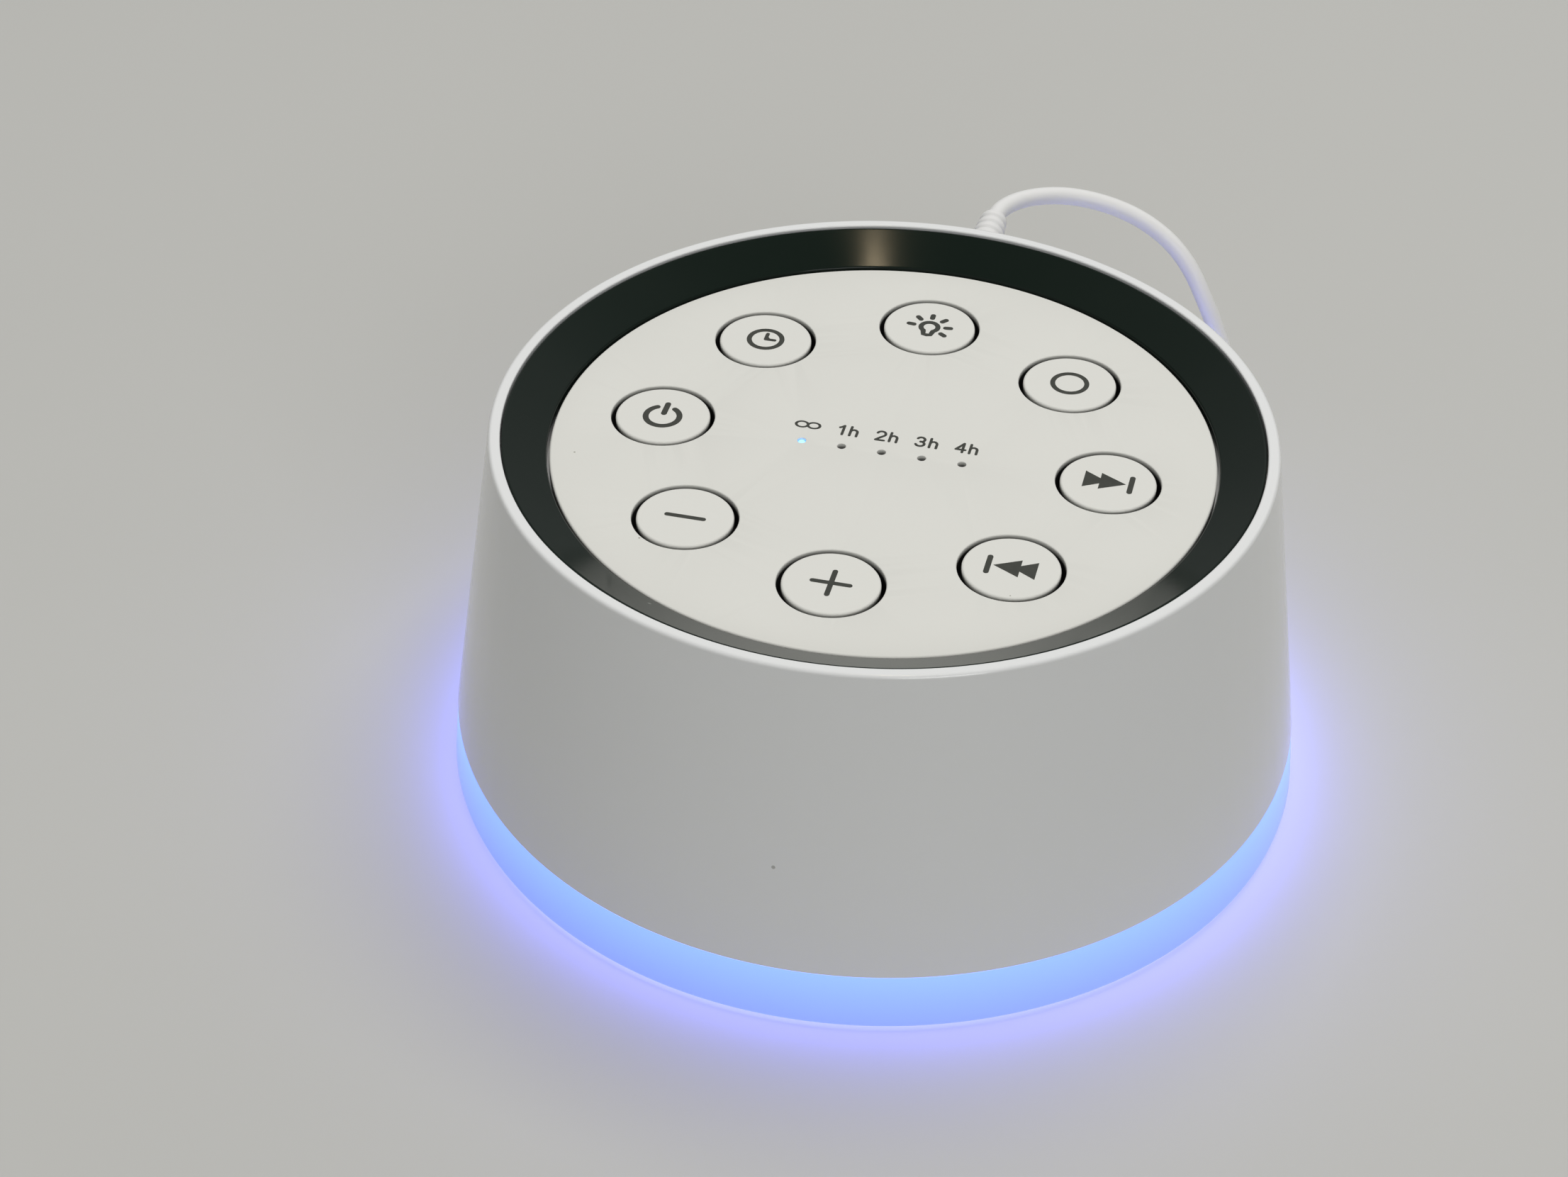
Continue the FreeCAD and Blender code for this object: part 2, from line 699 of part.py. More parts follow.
# Base plate with the raised grille, standoffs, countersunk screw holes and foot recesses
def base_plate():
    body = turned([
        (0, base_bottom + grille_rise),
        (grille_radius, base_bottom + grille_rise),
        (grille_radius + grille_slope, base_bottom),
        (base_radius, base_bottom),
        (base_radius, base_top),
        (grille_radius + 2 * grille_slope, base_top),
        (grille_radius + grille_slope, grille_top),
        (0, grille_top),
    ])
    adds = []
    for x, y, angle in places(lug_count, lug_circle, lug_first_angle):
        adds.append(rod(lug_radius, grille_top - root, flange_bottom, x, y).cut(
            rod(speaker_radius, grille_top - past, flange_bottom + past)))
    for x, y, angle in places(boss_count, strip_middle, boss_first_angle):
        adds.append(rod(strip_boss_radius, base_top - root, strip_bottom, x, y))
    body = joined([body] + adds)
    cuts = []
    for row in range(-grille_rings, grille_rings + 1):
        count = 2 * grille_rings + 1 - abs(row)
        for i in range(count):
            x = (i - (count - 1) / 2) * grille_pitch
            y = row * grille_pitch * math.sqrt(3) / 2
            cuts.append(rod(grille_hole_radius, base_bottom, grille_top + past, x, y))
    for x, y, angle in places(lug_count, lug_circle, lug_first_angle):
        cuts.append(rod(speaker_screw_radius + thread_gap, speaker_shelf - speaker_screw_length - 2 * seat_gap,
                        flange_bottom + past, x, y))
    for x, y, angle in places(boss_count, strip_middle, boss_first_angle):
        cuts.append(rod(strip_screw_radius + thread_gap, strip_bottom - strip_screw_length,
                        strip_bottom + past, x, y))
    for x, y, angle in places(foot_count, foot_circle):
        cuts.append(rod(foot_radius + seat_gap, base_bottom - past, base_bottom + foot_recess, x, y))
    for x, y, angle in places(boss_count, housing_boss_circle, housing_boss_angle):
        hole = base_screw_radius + running_gap
        head = 2 * base_screw_radius + running_gap
        cone = Part.makeCone(head, hole, head - hole, V(x, y, base_bottom))
        cuts.append(rod(hole, base_bottom - past, base_top + past, x, y))
        cuts.append(cone)
    save("base_plate", body.cut(cuts))
    feet = []
    for x, y, angle in places(foot_count, foot_circle):
        foot = rod(foot_radius, 0, base_bottom + foot_recess, x, y)
        feet.append(rounded(foot, foot_round, [(foot_radius, 0)]))
    save("rubber_feet", *feet)
    screws = []
    for x, y, angle in places(boss_count, housing_boss_circle, housing_boss_angle):
        head = Part.makeCone(2 * base_screw_radius, base_screw_radius, base_screw_radius, V(x, y, base_bottom))
        shank = rod(base_screw_radius, base_bottom + root, base_top + base_screw_length, x, y)
        arm = base_screw_radius * 1.2
        half = base_screw_radius * 0.3
        slot_top = base_bottom + base_screw_radius * 0.65
        cross = [block(x - arm, x + arm, y - half, y + half, base_bottom - past, slot_top),
                 block(x - half, x + half, y - arm, y + arm, base_bottom - past, slot_top)]
        screws.append(joined([head, shank]).cut(cross))
    save("base_screws", *screws)


# Diffuser ring, its circuit board, lamps and screws
def light_ring():
    tongue_outer = inner_radius(shell_bottom + tongue_height) - running_gap
    bottom_outer = shell_bottom_radius + light_ring_flare
    body = turned([
        (shell_bottom_radius, shell_bottom),
        (bottom_outer, foot_stand),
        (base_radius + running_gap, foot_stand),
        (base_radius + running_gap, base_top),
        (light_ring_inner, base_top),
        (light_ring_inner, shell_bottom + tongue_height),
        (tongue_outer, shell_bottom + tongue_height),
        (tongue_outer, shell_bottom),
    ])
    save("light_ring", rounded(body, light_ring_round, [(bottom_outer, foot_stand)]))
    board = pipe(strip_outer_radius, strip_inner_radius, strip_bottom, strip_top)
    holes = []
    screws = []
    for x, y, angle in places(boss_count, strip_middle, boss_first_angle):
        holes.append(rod(strip_screw_radius + running_gap, strip_bottom - past, strip_top + past, x, y))
        grip = strip_thickness + strip_screw_length - 2 * seat_gap
        screws.append(screw(x, y, strip_top, False, strip_screw_head_radius, strip_screw_head,
                            strip_screw_radius, grip))
    for x, y, angle in places(boss_count, housing_boss_circle, housing_boss_angle):
        holes.append(rod(housing_boss_radius + running_gap, strip_bottom - past, strip_top + past, x, y))
    save("light_circuit_board", board.cut(holes))
    save("light_board_screws", *screws)
    lamps = []
    for x, y, angle in places(lamp_count, 1.0, 180.0 / lamp_count):
        lamp = block(strip_middle - lamp_width / 2, strip_middle + lamp_width / 2,
                     -lamp_length / 2, lamp_length / 2, strip_top, strip_top + lamp_height)
        lamps.append(spun(lamp, angle))
    save("light_leds", *lamps)


# Power socket in the rear wall, and the plug with its ribbed strain relief
def rod_along_y(radius, start, end):
    """Round bar along Y at the socket's height."""
    return Part.makeCylinder(radius, end - start, V(0, start, socket_height), V(0, 1, 0))


def power_socket():
    half = socket_side / 2
    body = block(-half, half, socket_back, socket_front, socket_height - half, socket_height + half)
    nose_end = outer_radius(socket_height + socket_radius) - socket_nose_inset
    nose = rod_along_y(socket_radius, socket_front - root, nose_end)
    bore = rod_along_y(barrel_radius + socket_bore_gap, plug_face - barrel_length - barrel_clearance,
                       nose_end + past)
    pin_start = socket_back + socket_floor
    pin_hole = rod_along_y(socket_pin_radius, pin_start, nose_end + past)
    save("dc_socket", joined([body, nose]).cut([bore, pin_hole]))
    save("dc_socket_pin", rod_along_y(socket_pin_radius, pin_start, nose_end - socket_floor))


def power_plug():
    save("power_plug_barrel", turned_along_y([
        (barrel_bore, plug_face - barrel_length), (barrel_radius, plug_face - barrel_length),
        (barrel_radius, plug_face), (barrel_bore, plug_face)], socket_height))
    edge = plug_radius / 9.2
    save("power_plug_body", turned_along_y([
        (0, plug_face), (plug_radius - edge, plug_face), (plug_radius, plug_face + edge),
        (plug_radius, plug_end - 5.2 * edge), (plug_radius - edge, plug_end - 2.4 * edge),
        (plug_radius - 3 * edge, plug_end), (0, plug_end)], socket_height))
    rib_pitch = relief_length / (relief_ribs + 0.4)
    outline = [(0, plug_end)]
    for i in range(relief_ribs):
        low = plug_end + i * rib_pitch
        radius = relief_start_radius + (relief_end_radius - relief_start_radius) * i / relief_ribs
        outline += [(radius, low), (radius, low + 0.62 * rib_pitch),
                    (radius - relief_groove, low + 0.7 * rib_pitch),
                    (radius - relief_groove, low + 0.92 * rib_pitch)]
    outline += [(relief_end_radius, plug_end + relief_ribs * rib_pitch), (relief_end_radius, relief_end),
                (0, relief_end)]
    save("cord_strain_relief", turned_along_y(outline, socket_height))


# Leads: straight runs joined by tangent arcs
def arc_mid(start, tangent, end):
    """Middle point of the arc that leaves start along tangent and arrives at end."""
    chord = end - start
    along = V(chord).normalize()
    across = tangent - along * tangent.dot(along)
    if across.Length < 1e-9:
        return None
    phi = tangent.getAngle(chord)
    return start + chord * 0.5 + V(across).normalize() * (chord.Length / 2 * math.tan(phi / 2))


def arc_or_line(start, tangent, end):
    """Edge from start along tangent to end."""
    mid = arc_mid(start, tangent, end)
    if mid is None:
        return Part.LineSegment(start, end).toShape()
    return Part.Arc(start, mid, end).toShape()


def lead_wire(points, name):
    """Path of a lead through its hand-chosen points, with the largest arcs its runs allow."""
    knots = [V(*p) for p in points]
    edges = []
    here = knots[0]
    radii = []
    for i in range(1, len(knots) - 1):
        back = knots[i - 1] - knots[i]
        ahead = knots[i + 1] - knots[i]
        half_turn = (math.pi - back.getAngle(ahead)) / 2
        reach = 0.45 * min(back.Length, ahead.Length)
        radii.append(round(reach / math.tan(half_turn), 1))
        start = knots[i] + V(back).normalize() * reach
        end = knots[i] + V(ahead).normalize() * reach
        edges.append(Part.LineSegment(here, start).toShape())
        edges.append(arc_or_line(start, V(back).normalize() * -1, end))
        here = end
    edges.append(Part.LineSegment(here, knots[-1]).toShape())
    print(name, "radii", radii)
    return Part.Wire(edges)


def swept(wire, diameter, name):
    """Round tube along a path, with its volume against section times length."""
    first = wire.Edges[0]
    start = first.valueAt(first.FirstParameter)
    direction = first.tangentAt(first.FirstParameter)
    ring = Part.Wire(Part.makeCircle(diameter / 2, start, direction))
    tube = wire.makePipeShell([ring], True, False)
    ideal = math.pi * diameter ** 2 / 4 * wire.Length
    print(name, "length", round(wire.Length, 1), "volume ratio", round(tube.Volume / ideal, 4))
    return tube


def inner_leads():
    half = inner_lead_pitch / 2
    speaker = []
    power = []
    light = []
    for side in (-half, half):
        speaker_points = [
            (side, speaker_header_y, header_bottom), (side, speaker_header_y, header_bottom - 5),
            (side, speaker_header_y - 5, header_bottom - 10), (side, speaker_header_y - 5.5, header_bottom - 16),
            (side, terminal_y, terminal_top + 4), (side, terminal_y, terminal_top)]
        speaker.append(swept(lead_wire(speaker_points, "speaker lead"), inner_lead_diameter, "speaker lead"))
        power_points = [
            (side, power_header_y, header_bottom), (side, power_header_y, header_bottom - 4),
            (side, power_header_y + 5, header_bottom - 6.5), (side, power_header_y + 9.5, header_bottom - 4),
            (side, socket_back - 3, socket_height - 2.5), (side, socket_back, socket_height - 2.5)]
        power.append(swept(lead_wire(power_points, "power lead"), inner_lead_diameter, "power lead"))
        light_points = [
            (light_header_x, side, header_bottom), (light_header_x, side, header_bottom - 6),
            (light_header_x + 8, side, header_bottom - 12), (strip_middle - 7, side, header_bottom - 15),
            (strip_middle, side, strip_top + 10), (strip_middle, side, strip_top)]
        light.append(swept(lead_wire(light_points, "light lead"), inner_lead_diameter, "light lead"))
    save("speaker_leads", *speaker)
    save("power_leads", *power)
    save("light_leads", *light)


# Power cord: free stretch, put-away coil behind the housing, tail and connector
cord_lift = cord_diameter / 2
coil_x = -12.0
coil_y = 88.0
coil_pitch = 3.3
coil_spiral_turns = 2.875
coil_layers = 4
coil_mean_radius = 15.6
coil_outer_turn = coil_mean_radius + coil_pitch * coil_spiral_turns / 2
coil_lead_in = 3.0

cord_route = [
    (0, relief_end, socket_height), (0, 86.6, socket_height), (3.2, 91.4, 38.4), (8.6, 95.2, 37.7),
    (15.0, 96.9, 36.4), (21.4, 96.9, 34.5), (26.9, 95.8, 31.6), (30.8, 94.4, 27.8), (33.6, 93.0, 23.2),
    (36.0, 92.4, 18.4), (38.2, 91.4, 13.4), (39.2, 88.6, 8.4), (38.4, 84.6, 4.4), (35.4, 79.4, 2.0),
    (31.0, 74.8, cord_lift), (25.2, 71.2, cord_lift), (17.2, 68.8, cord_lift),
    (8.4, coil_y - coil_outer_turn, cord_lift), (coil_x + coil_lead_in, coil_y - coil_outer_turn, cord_lift)]


def coil_point(turns):
    """Point of the wound line after so many turns: it spirals in and out, layer on layer."""
    cycle = coil_spiral_turns + 0.5
    layer = min(int(turns / cycle + 1e-9), coil_layers - 1)
    within = turns - layer * cycle
    inward = layer % 2 == 0
    spiral = min(within, coil_spiral_turns)
    shrink = spiral if inward else coil_spiral_turns - spiral
    radius = coil_outer_turn - coil_pitch * shrink
    climb = max(0.0, within - coil_spiral_turns) / 0.5
    bulge = coil_pitch / (2 * math.pi) * math.sin(math.pi * climb)
    radius += -bulge if inward else bulge
    smooth = climb * climb * (3 - 2 * climb)
    height = cord_lift + coil_pitch * (layer + smooth)
    angle = -math.pi / 2 - turns * 2 * math.pi
    return V(coil_x + radius * math.cos(angle), coil_y + radius * math.sin(angle), height)


def coil_tangent(turns, total):
    """Direction of the wound line."""
    step = 1e-4
    low = max(0.0, turns - step)
    high = min(total, turns + step)
    return (coil_point(high) - coil_point(low)).normalize()


def biarc(p0, t0, p1, t1):
    """Two tangent arcs from p0 along t0 to p1 along t1."""
    v = p1 - p0
    t = t0 + t1
    a = 2 * (1 - t0.dot(t1))
    b = 2 * v.dot(t)
    c = -v.dot(v)
    if abs(a) < 1e-9:
        d = v.dot(v) / (4 * v.dot(t0))
    else:
        d = (-b + math.sqrt(b * b - 4 * a * c)) / (2 * a)
    middle = (p0 + t0 * d + p1 - t1 * d) * 0.5
    chord = middle - p0
    along = V(chord).normalize()
    turn_tangent = along * (2 * t0.dot(along)) - t0
    return [arc_or_line(p0, t0, middle), arc_or_line(middle, turn_tangent, p1)]


def cord_coil():
    total = coil_layers * (coil_spiral_turns + 0.5) - 0.5
    marks = [0.0]
    for layer in range(coil_layers):
        start = layer * (coil_spiral_turns + 0.5)
        quarters = int(round(coil_spiral_turns / 0.25))
        for i in range(1, quarters + 1):
            marks.append(start + coil_spiral_turns * i / quarters)
        if layer < coil_layers - 1:
            marks.append(start + coil_spiral_turns + 0.25)
            marks.append(start + coil_spiral_turns + 0.5)
    points = [coil_point(m) for m in marks]
    tangents = [coil_tangent(m, total) for m in marks]
    tangents[0] = V(-1, 0, 0)
    tangents[-1] = V(-1, 0, 0)
    entry = points[0] + V(coil_lead_in, 0, 0)
    leave = points[-1] + tangents[-1] * coil_lead_in
    edges = [Part.LineSegment(entry, points[0]).toShape()]
    for i in range(len(points) - 1):
        edges += biarc(points[i], tangents[i], points[i + 1], tangents[i + 1])
    edges.append(Part.LineSegment(points[-1], leave).toShape())
    wire = Part.Wire(edges)
    tube = swept(wire, cord_diameter, "coil")
    samples = []
    gone = 0.0
    for edge in wire.Edges:
        count = max(2, int(edge.Length / 1.0))
        for k in range(count):
            share = k / count
            at = edge.FirstParameter + (edge.LastParameter - edge.FirstParameter) * share
            samples.append((gone + edge.Length * share, edge.valueAt(at)))
        gone += edge.Length
    least = 1e9
    for i in range(len(samples)):
        for j in range(i + 1, len(samples)):
            if samples[j][0] - samples[i][0] > 4 * cord_diameter:
                least = min(least, (samples[j][1] - samples[i][1]).Length)
    print("coil loops", total, "least gap to itself", round(least - cord_diameter, 3))
    save("power_cord_coil", tube)
    return leave


grip_length = 18.0
grip_width = 15.4
grip_height = 7.6
grip_round = 1.4
shell_length = 11.8
shell_width = 12.0
shell_height = 4.5
shell_metal = 0.4
tongue_gap = 0.7
tongue_thickness = 1.8


def connector(origin_x, origin_y, heading):
    """Rectangular lead connector lying on the table: grip and metal shell."""
    middle = grip_height / 2
    grip = block(0, grip_length, -grip_width / 2, grip_width / 2, 0, grip_height)
    grip = grip.makeFillet(grip_round, [e for e in grip.Edges if abs(e.tangentAt(e.FirstParameter).x) > 0.9])
    low = middle - shell_height / 2
    shell = block(grip_length, grip_length + shell_length, -shell_width / 2, shell_width / 2,
                  low, low + shell_height)
    hollow = block(grip_length + shell_metal, grip_length + shell_length + past,
                   -shell_width / 2 + shell_metal, shell_width / 2 - shell_metal,
                   low + shell_metal, low + shell_height - shell_metal)
    tongue = block(grip_length + shell_metal, grip_length + shell_length - 2 * shell_metal,
                   -shell_width / 2 + tongue_gap, shell_width / 2 - tongue_gap,
                   low + shell_metal, low + shell_metal + tongue_thickness)
    pieces = []
    for shape in (grip, shell.cut(hollow), tongue):
        shape.rotate(V(0, 0, 0), V(0, 0, 1), heading)
        shape.translate(V(origin_x, origin_y, 0))
        pieces.append(shape)
    save("usb_connector_grip", pieces[0], pieces[2])
    save("usb_connector_shell", pieces[1])


def power_cord():
    save("power_cord_run", swept(lead_wire(cord_route, "cord run"), cord_diameter, "cord run"))
    leave = cord_coil()
    grip_middle = grip_height / 2
    tail = [
        (leave.x, leave.y, leave.z), (leave.x - 8.0, leave.y, leave.z),
        (leave.x - 17.0, leave.y + 2.2, leave.z - 2.4),
        (leave.x - 24.4, leave.y + 6.6, leave.z - 6.2), (leave.x - 28.0, leave.y + 12.6, grip_middle),
        (leave.x - 28.0, leave.y + 18.0, grip_middle)]
    save("power_cord_tail", swept(lead_wire(tail, "cord tail"), cord_diameter, "cord tail"))
    connector(tail[-1][0], tail[-1][1], 90.0)


outer_shell()
bezel_ring()
control_panel()
buttons()
main_board()
board_parts()
speaker()
base_plate()
light_ring()
power_socket()
power_plug()
inner_leads()
power_cord()
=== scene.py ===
"""Looks of a round white noise sound machine, built around its packed construction."""

import math

import bmesh
import bpy
import numpy as np
from mathutils import Matrix, Vector
from mathutils.geometry import delaunay_2d_cdt


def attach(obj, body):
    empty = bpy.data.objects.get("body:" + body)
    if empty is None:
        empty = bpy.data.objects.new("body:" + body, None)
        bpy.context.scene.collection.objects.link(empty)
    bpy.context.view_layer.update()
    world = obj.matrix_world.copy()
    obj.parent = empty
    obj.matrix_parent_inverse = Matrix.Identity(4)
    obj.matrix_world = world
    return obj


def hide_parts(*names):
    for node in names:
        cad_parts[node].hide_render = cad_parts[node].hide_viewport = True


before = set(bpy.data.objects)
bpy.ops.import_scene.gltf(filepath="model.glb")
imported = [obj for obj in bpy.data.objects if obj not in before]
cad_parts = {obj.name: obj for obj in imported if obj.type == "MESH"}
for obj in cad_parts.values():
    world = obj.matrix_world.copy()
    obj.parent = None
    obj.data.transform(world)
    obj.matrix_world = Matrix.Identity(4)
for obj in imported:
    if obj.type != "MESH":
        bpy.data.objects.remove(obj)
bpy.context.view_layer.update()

# Viewpoint: a telephoto phone lens looks down at the machine from the front and a little to the
# right. Place, slope and focal length were worked out from the circles of rim, bezel and base.
MM = 0.001
camera_place = Vector((72.4, -364.2, 314.1)) * MM
camera_slope = math.radians(37.74)
camera_heading = math.radians(13.29)
camera_roll = math.radians(0.82)
camera_data = bpy.data.cameras.new("view")
camera_data.sensor_width = 36.0
camera_data.lens = 76.2
camera = bpy.data.objects.new("view", camera_data)
look = Matrix.Rotation(camera_heading, 4, "Z") @ Matrix.Rotation(math.pi / 2 - camera_slope, 4, "X")
camera.matrix_world = Matrix.Translation(camera_place) @ look @ Matrix.Rotation(camera_roll, 4, "Z")
bpy.context.scene.collection.objects.link(camera)
bpy.context.scene.camera = camera


# Power lead: a 2.8 mm white PVC lead that leaves a moulded plug, bends right and drops behind the
# machine. Its spare length lies in a tied coil of 13 loops, and ends in a generic connector.
def moulded_surface_group():
    """Node group for moulded plastic and rubber: soft colour patches, fine grain and loose specks."""
    group = bpy.data.node_groups.new("moulded_surface", "ShaderNodeTree")
    face = group.interface
    wanted = [
        ("Colour", "NodeSocketColor", (0.8, 0.8, 0.8, 1.0)),
        ("Patch Colour", "NodeSocketColor", (0.7, 0.7, 0.7, 1.0)),
        ("Patch Amount", "NodeSocketFloat", 0.2),
        ("Patch Scale", "NodeSocketFloat", 40.0),
        ("Roughness", "NodeSocketFloat", 0.35),
        ("Roughness Swing", "NodeSocketFloat", 0.05),
        ("Grain Scale", "NodeSocketFloat", 4000.0),
        ("Grain Depth", "NodeSocketFloat", 0.1),
        ("Speck Colour", "NodeSocketColor", (0.6, 0.6, 0.58, 1.0)),
        ("Speck Scale", "NodeSocketFloat", 150.0),
        ("Speck Size", "NodeSocketFloat", 0.0),
    ]
    for name, kind, value in wanted:
        face.new_socket(name=name, in_out="INPUT", socket_type=kind).default_value = value
    face.new_socket(name="Colour", in_out="OUTPUT", socket_type="NodeSocketColor")
    face.new_socket(name="Roughness", in_out="OUTPUT", socket_type="NodeSocketFloat")
    face.new_socket(name="Normal", in_out="OUTPUT", socket_type="NodeSocketVector")
    nodes, links = group.nodes, group.links
    given = nodes.new("NodeGroupInput")
    result = nodes.new("NodeGroupOutput")
    where = nodes.new("ShaderNodeTexCoord")
    patches = nodes.new("ShaderNodeTexNoise")
    patches.inputs["Detail"].default_value = 3.0
    grain = nodes.new("ShaderNodeTexNoise")
    grain.inputs["Detail"].default_value = 2.0
    cells = nodes.new("ShaderNodeTexVoronoi")
    for texture, scale in ((patches, "Patch Scale"), (grain, "Grain Scale"), (cells, "Speck Scale")):
        links.new(where.outputs["Object"], texture.inputs["Vector"])
        links.new(given.outputs[scale], texture.inputs["Scale"])
    patch_mask = nodes.new("ShaderNodeMath")
    patch_mask.operation = "MULTIPLY"
    links.new(patches.outputs[0], patch_mask.inputs[0])
    links.new(given.outputs["Patch Amount"], patch_mask.inputs[1])
    toned = nodes.new("ShaderNodeMix")
    toned.data_type = "RGBA"
    links.new(patch_mask.outputs[0], toned.inputs[0])
    links.new(given.outputs["Colour"], toned.inputs[6])
    links.new(given.outputs["Patch Colour"], toned.inputs[7])
    speck_mask = nodes.new("ShaderNodeMath")
    speck_mask.operation = "LESS_THAN"
    links.new(cells.outputs["Distance"], speck_mask.inputs[0])
    links.new(given.outputs["Speck Size"], speck_mask.inputs[1])
    few = nodes.new("ShaderNodeSeparateColor")
    links.new(cells.outputs["Color"], few.inputs[0])
    rare = nodes.new("ShaderNodeMath")
    rare.operation = "GREATER_THAN"
    rare.inputs[1].default_value = 0.88
    links.new(few.outputs[0], rare.inputs[0])
    shown = nodes.new("ShaderNodeMath")
    shown.operation = "MULTIPLY"
    links.new(speck_mask.outputs[0], shown.inputs[0])
    links.new(rare.outputs[0], shown.inputs[1])
    speckled = nodes.new("ShaderNodeMix")
    speckled.data_type = "RGBA"
    links.new(shown.outputs[0], speckled.inputs[0])
    links.new(toned.outputs[2], speckled.inputs[6])
    links.new(given.outputs["Speck Colour"], speckled.inputs[7])
    links.new(speckled.outputs[2], result.inputs["Colour"])
    swing = nodes.new("ShaderNodeMath")
    swing.operation = "MULTIPLY_ADD"
    links.new(patches.outputs[0], swing.inputs[0])
    links.new(given.outputs["Roughness Swing"], swing.inputs[1])
    links.new(given.outputs["Roughness"], swing.inputs[2])
    links.new(swing.outputs[0], result.inputs["Roughness"])
    bump = nodes.new("ShaderNodeBump")
    bump.inputs["Distance"].default_value = 0.00004
    links.new(given.outputs["Grain Depth"], bump.inputs["Strength"])
    links.new(grain.outputs[0], bump.inputs["Height"])
    links.new(bump.outputs[0], result.inputs["Normal"])
    return group


def gap_shade_group():
    """Node group that darkens a colour below a height: painted shade for the shadow down in a narrow gap.
    """
    group = bpy.data.node_groups.new("gap_shade", "ShaderNodeTree")
    face = group.interface
    face.new_socket(name="Colour", in_out="INPUT", socket_type="NodeSocketColor")
    face.new_socket(name="Top", in_out="INPUT", socket_type="NodeSocketFloat").default_value = 0.0512
    face.new_socket(name="Bottom", in_out="INPUT", socket_type="NodeSocketFloat").default_value = 0.0505
    face.new_socket(name="Colour", in_out="OUTPUT", socket_type="NodeSocketColor")
    nodes, links = group.nodes, group.links
    given = nodes.new("NodeGroupInput")
    result = nodes.new("NodeGroupOutput")
    where = nodes.new("ShaderNodeTexCoord")
    split = nodes.new("ShaderNodeSeparateXYZ")
    depth = nodes.new("ShaderNodeMapRange")
    depth.inputs["To Max"].default_value = 0.97
    links.new(where.outputs["Object"], split.inputs[0])
    links.new(split.outputs["Z"], depth.inputs["Value"])
    links.new(given.outputs["Top"], depth.inputs["From Min"])
    links.new(given.outputs["Bottom"], depth.inputs["From Max"])
    shaded = nodes.new("ShaderNodeMix")
    shaded.data_type = "RGBA"
    shaded.inputs[7].default_value = (0.0, 0.0, 0.0, 1.0)
    links.new(depth.outputs[0], shaded.inputs[0])
    links.new(given.outputs["Colour"], shaded.inputs[6])
    links.new(shaded.outputs[2], result.inputs["Colour"])
    return group


moulded_surface = moulded_surface_group()
gap_shade = gap_shade_group()


def moulded_material(name, colour, patch_colour, values, gap=None, **sockets):
    """Principled material fed by moulded_surface; gap gives the heights between which painted shade
    darkens it.
    """
    material = bpy.data.materials.new(name)
    material.use_nodes = True
    nodes, links = material.node_tree.nodes, material.node_tree.links
    principled = nodes["Principled BSDF"]
    surface = nodes.new("ShaderNodeGroup")
    surface.node_tree = moulded_surface
    surface.inputs["Colour"].default_value = (*colour, 1.0)
    surface.inputs["Patch Colour"].default_value = (*patch_colour, 1.0)
    for socket, value in values.items():
        surface.inputs[socket].default_value = value
    toned = surface
    # Painted shade: below the gap's top height the colour runs down to nearly black at its bottom height.
    if gap:
        toned = nodes.new("ShaderNodeGroup")
        toned.node_tree = gap_shade
        toned.inputs["Top"].default_value = gap[0] * MM
        toned.inputs["Bottom"].default_value = gap[1] * MM
        links.new(surface.outputs["Colour"], toned.inputs["Colour"])
    links.new(toned.outputs["Colour"], principled.inputs["Base Color"])
    links.new(surface.outputs["Roughness"], principled.inputs["Roughness"])
    links.new(surface.outputs["Normal"], principled.inputs["Normal"])
    for socket, value in sockets.items():
        principled.inputs[socket.replace("_", " ")].default_value = value
    return material


def outline(corners, steps=6, closed=True):
    """Polygon with round corners: (r, z, size) becomes an arc of that size, tangent to both sides."""
    points = np.array([c[:2] for c in corners], float)
    count = len(points)
    path = []
    for i, corner in enumerate(corners):
        here = points[i]
        if corner[2] == 0 or (not closed and i in (0, count - 1)):
            path.append(here)
            continue
        back = points[i - 1] - here
        ahead = points[(i + 1) % count] - here
        back /= np.linalg.norm(back)
        ahead /= np.linalg.norm(ahead)
        half = math.acos(np.clip(back @ ahead, -1, 1)) / 2
        centre = here + (back + ahead) / np.linalg.norm(back + ahead) * corner[2] / math.sin(half)
        start = here + back * corner[2] / math.tan(half) - centre
        end = here + ahead * corner[2] / math.tan(half) - centre
        first = math.atan2(start[1], start[0])
        sweep = (math.atan2(end[1], end[0]) - first + math.pi) % (2 * math.pi) - math.pi
        hold = 0.03
        path.append(centre + start + back * hold)
        for angle in first + sweep * np.linspace(0, 1, steps + 1):
            path.append(centre + corner[2] * np.array([math.cos(angle), math.sin(angle)]))
        path.append(centre + end + ahead * hold)
    return np.array(path)


def turned(profile, centre=(0.0, 0.0), steps=160, closed=True):
    """Surface of revolution: x = r cos a, y = r sin a, z = z, for each (r, z) of the profile."""
    angle = np.linspace(0, 2 * math.pi, steps, endpoint=False)
    r, z = profile[:, 0], profile[:, 1]
    x = centre[0] + r[:, None] * np.cos(angle)
    y = centre[1] + r[:, None] * np.sin(angle)
    points = np.stack([x, y, np.broadcast_to(z[:, None], x.shape)], axis=2).reshape(-1, 3)
    rows = len(profile) if closed else len(profile) - 1
    i, j = np.meshgrid(np.arange(rows), np.arange(steps), indexing="ij")
    after_i = (i + 1) % len(profile)
    after_j = (j + 1) % steps
    quads = np.stack([i * steps + j, i * steps + after_j,
                      after_i * steps + after_j, after_i * steps + j], axis=2)
    return points, quads.reshape(-1, 4).tolist()


def along_y(shape, height):
    """The turned surface laid over, so that its axis runs along Y at that height."""
    points, faces = shape
    return np.stack([points[:, 0], points[:, 2], height + points[:, 1]], axis=1), faces


